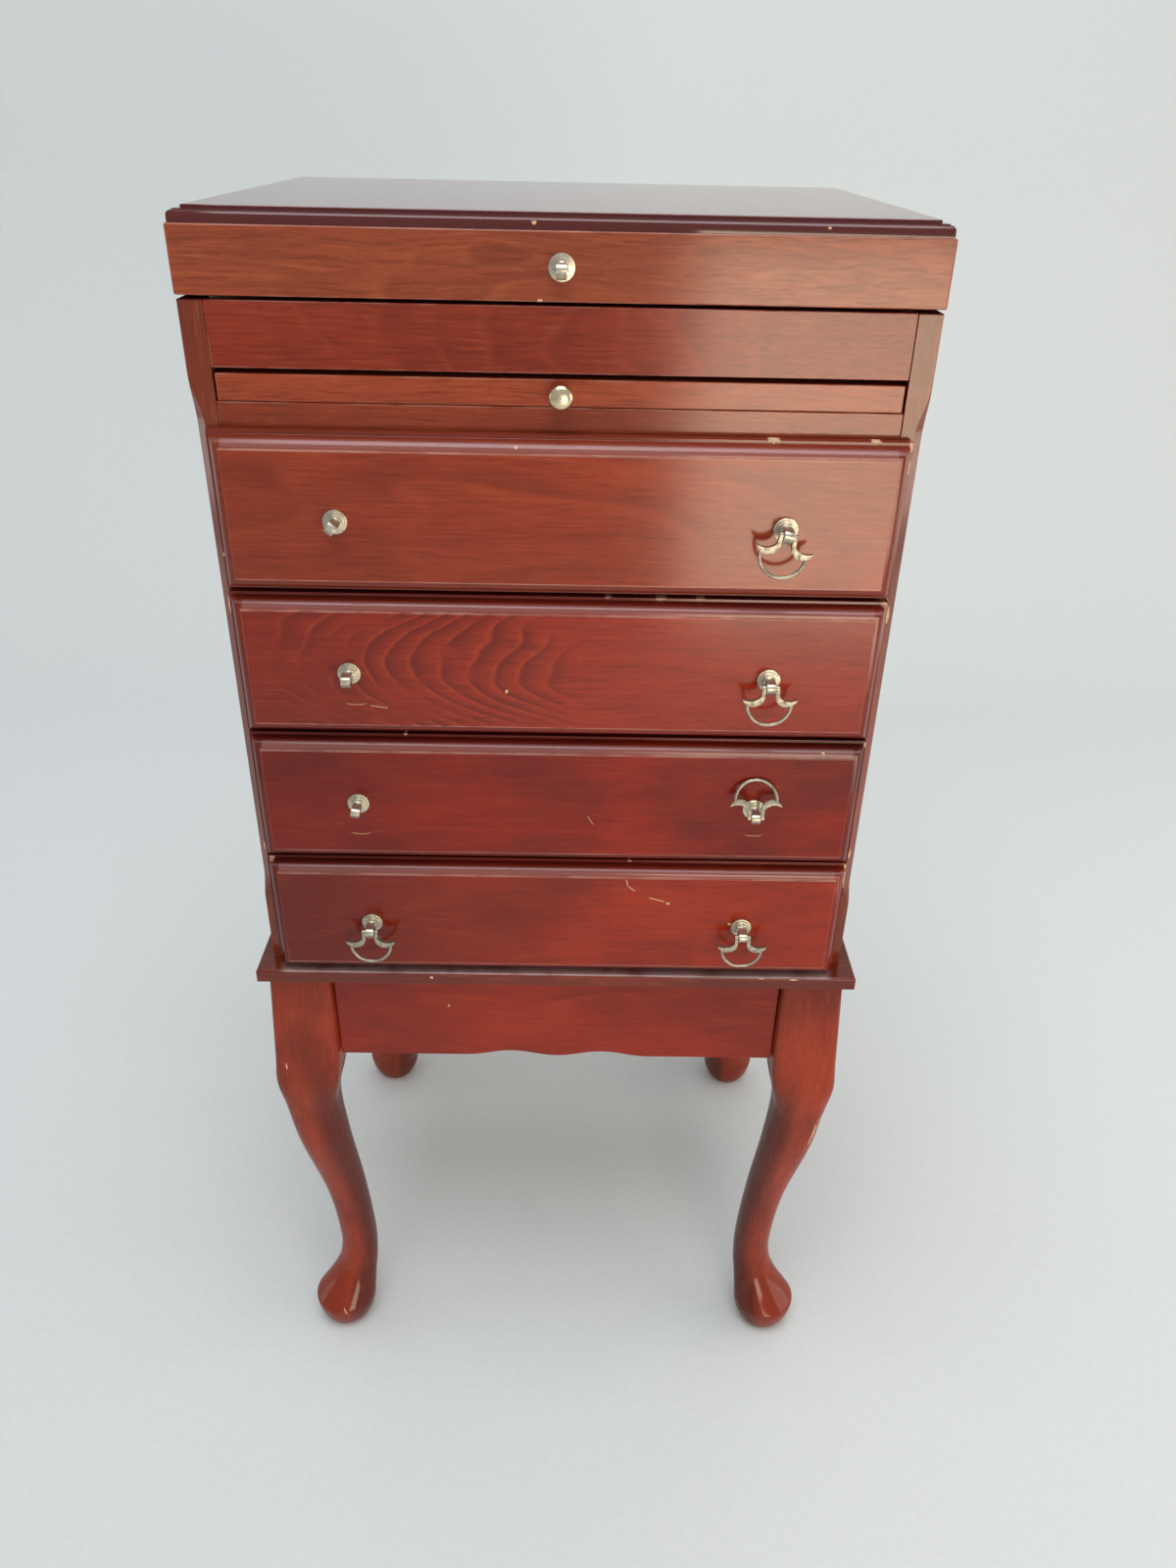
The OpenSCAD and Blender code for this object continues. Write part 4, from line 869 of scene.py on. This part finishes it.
def screws(name, body, spots, radius, height, slot, material, finish):
    """Heads at (place, facing) spots, as one plain mesh that rides on a body."""
    points = bpy.data.meshes.new(name)
    points.from_pydata([place for place, _ in spots], [], [])
    facing = points.attributes.new("facing", "FLOAT_VECTOR", "POINT")
    for k, (_, way) in enumerate(spots):
        facing.data[k].vector = way
    seed = bpy.data.objects.new(name + "_points", points)
    bpy.context.scene.collection.objects.link(seed)
    modifier = seed.modifiers.new("screws", "NODES")
    modifier.node_group = SCREWS
    values = {"Radius": radius, "Height": height, "Slot": slot, "Material": material}
    for item in SCREWS.interface.items_tree:
        if item.in_out == "INPUT" and item.name in values:
            modifier[item.identifier] = values[item.name]
    graph = bpy.context.evaluated_depsgraph_get()
    mesh = bpy.data.meshes.new_from_object(seed.evaluated_get(graph), depsgraph=graph)
    bpy.data.objects.remove(seed)
    piece = bpy.data.objects.new(name, mesh)
    bpy.context.scene.collection.objects.link(piece)
    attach(piece, body)
    print(name, len(spots), "heads,", len(mesh.polygons), "faces")


# %% Kinds of heads
# Radius, height, slot, metal and finish of each.
RAIL_HEAD = (0.0030, 0.0004, 0.0007, bright_brass, "bright_brass")
LID_HEAD = (0.0030, 0.0003, 0.0007, bright_brass, "bright_brass")
PIN_HEAD = (0.0022, 0.0006, 0.0003, screw_steel, "antique_brass")
BLOCK_HEAD = (0.0040, 0.0018, 0.0010, screw_steel, "antique_brass")
BOLT_HEAD = (0.0042, 0.0020, 0.0010, screw_steel, "antique_brass")
UP, DOWN, BACKWARDS = (0, 0, 1), (0, 0, -1), (0, 1, 0)

# %% Hinge screws
HINGE_X, HINGE_Y, LEAF = 0.130, FRONT + 0.3150, 0.0012
HOLE_STEP, HOLE_BACK, HOLE_HEIGHT = 0.017, 0.0115, 0.9020
hole_x = [side * HINGE_X + step for side in (-1, 1) for step in (-HOLE_STEP, 0.0, HOLE_STEP)]
leaf_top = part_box("hinge_rail")[1].z + LEAF
rail_spots = [((at, HINGE_Y + HOLE_BACK, leaf_top), UP) for at in hole_x]
screws("hinge_rail_screws", "cabinet", rail_spots, *RAIL_HEAD)
leaf_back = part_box("lid_back")[1].y + LEAF
lid_spots = [((at, leaf_back, HOLE_HEIGHT), BACKWARDS) for at in hole_x]
screws("lid_hinge_screws", "lid", lid_spots, *LID_HEAD)

# %% Pins of the back panel
END_INSET, ROW_INSET, SIDE_INSET, PIN_GAPS = 0.012, 0.008, 0.006, 5
back_low, back_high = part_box("back_panel")
row_start, row_length = back_low.x + END_INSET, back_high.x - back_low.x - 2 * END_INSET
low_row, high_row = back_low.z + ROW_INSET, back_high.z - ROW_INSET
pins = []
for k in range(PIN_GAPS + 1):
    across = row_start + row_length * k / PIN_GAPS
    pins += [((across, back_high.y, up), BACKWARDS) for up in (low_row, high_row)]
for k in range(1, PIN_GAPS + 1):
    up = low_row + (high_row - low_row) * k / (PIN_GAPS + 1)
    sides = (back_low.x + SIDE_INSET, back_high.x - SIDE_INSET)
    pins += [((across, back_high.y, up), BACKWARDS) for across in sides]
screws("back_pins", "cabinet", pins, *PIN_HEAD)

# %% Screws of the corner blocks
BLOCK_X, BLOCK_FRONT, BLOCK_BACK = 0.142, FRONT + 0.0605, FRONT + 0.2735
block_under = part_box("corner_blocks")[0].z
block_spots = [((across, deep, block_under), DOWN)
               for across in (-BLOCK_X, BLOCK_X) for deep in (BLOCK_FRONT, BLOCK_BACK)]
screws("corner_screws", "cabinet", block_spots, *BLOCK_HEAD)

# %% Bolts of the pulls
ROSETTE = 0.0072
for number in DRAWERS:
    low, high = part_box(f"drawer_{number}_pulls")
    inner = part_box(f"drawer_{number}_front")[1].y
    spots = [((at, inner, high.z - ROSETTE), BACKWARDS) for at in (low.x + ROSETTE, high.x - ROSETTE)]
    screws(f"drawer_{number}_bolts", f"drawer_{number}", spots, *BOLT_HEAD)
lid_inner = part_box("lid_front")[1].y
lid_middle = sum(corner.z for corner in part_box("lid_front")) / 2
screws("lid_bolt", "lid", [((0.0, lid_inner, lid_middle), BACKWARDS)], *BOLT_HEAD)

# %% [markdown]
# ## Felt linings
# The well, the lid and the drawers are lined with felt. Each lining is a cut sheet that lies in its
# box, so it is made as a fine grid with a faint unevenness and given its thickness afterwards.

# %% Felt sheets
# The room is left free above a flat sheet for its unevenness, the lift.
FELT_THICKNESS, FELT_GRID, FELT_LIFT, FELT_ROOM = 0.0018, 0.008, 0.00022, 0.0006


def felt_sheet(node, body, face_down=False):
    """A lining in the place of a node, as a sheet with a faint unevenness."""
    low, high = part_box(node)
    size = high - low
    steps_x, steps_y = (max(2, round(length / FELT_GRID)) for length in (size.x, size.y))
    bm = bmesh.new()
    rows = []
    for i in range(steps_x + 1):
        row = []
        for j in range(steps_y + 1):
            x, y = low.x + size.x * i / steps_x, low.y + size.y * j / steps_y
            edge = min(i, j, steps_x - i, steps_y - j)
            lift = FELT_LIFT * (1 + noise.noise(Vector((x * 40, y * 40, low.z * 9)))) * min(1.0, edge / 3)
            flat = high.z - FELT_ROOM if not face_down else low.z + FELT_ROOM
            row.append(bm.verts.new((x, y, flat + (-lift if face_down else lift))))
        rows.append(row)
    for a, b in zip(rows, rows[1:]):
        for j in range(steps_y):
            corners = (a[j], b[j], b[j + 1], a[j + 1])
            bm.faces.new(corners if not face_down else corners[::-1]).smooth = True
    mesh = bpy.data.meshes.new(f"{node}_felt")
    bm.to_mesh(mesh)
    bm.free()
    mesh.materials.append(wine_felt)
    piece = bpy.data.objects.new(f"{node}_felt", mesh)
    bpy.context.scene.collection.objects.link(piece)
    thick = piece.modifiers.new("thickness", "SOLIDIFY")
    thick.thickness, thick.offset = FELT_THICKNESS - FELT_ROOM, -1.0
    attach(piece, body)
    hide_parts(node)
    print(piece.name, steps_x, "by", steps_y, "cells")


felt_sheet("well_lining", "cabinet")
felt_sheet("lid_lining", "lid", face_down=True)
for number in DRAWERS:
    felt_sheet(f"drawer_{number}_lining", f"drawer_{number}")

# %% Felt pads under the lid
PAD_SIDES = 32


def pad_mesh(name, discs, height):
    """Round pads with a soft rim."""
    bm = bmesh.new()
    outline = [(1.0, 0.0), (1.0, 0.7), (0.94, 0.92), (0.80, 1.0)]
    turns = [2 * math.pi * k / PAD_SIDES for k in range(PAD_SIDES)]
    ways = [(math.cos(turn), math.sin(turn)) for turn in turns]
    for middle, radius in discs:
        rows = [[bm.verts.new((middle.x + radius * r * c, middle.y + radius * r * s, middle.z + height * h))
                 for c, s in ways] for r, h in outline]
        for a, b in zip(rows, rows[1:]):
            for k in range(PAD_SIDES):
                j = (k + 1) % PAD_SIDES
                bm.faces.new((a[k], a[j], b[j], b[k])).smooth = True
        bm.faces.new(rows[0][::-1])
        bm.faces.new(rows[-1]).smooth = True
    mesh = bpy.data.meshes.new(name)
    bm.to_mesh(mesh)
    bm.free()
    return mesh


pad_low, pad_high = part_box("lid_bumpers")
pad_radius = (pad_high.y - pad_low.y) / 2
pad_y = (pad_high.y + pad_low.y) / 2
discs = [(Vector((side * (pad_high.x - pad_radius), pad_y, pad_low.z)), pad_radius) for side in (-1, 1)]
pads = bpy.data.objects.new("lid_pads", pad_mesh("lid_pads", discs, pad_high.z - pad_low.z))
pads.data.materials.append(wine_felt)
bpy.context.scene.collection.objects.link(pads)
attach(pads, "cabinet")
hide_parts("lid_bumpers")
print("pads of", len(pads.data.polygons), "faces")
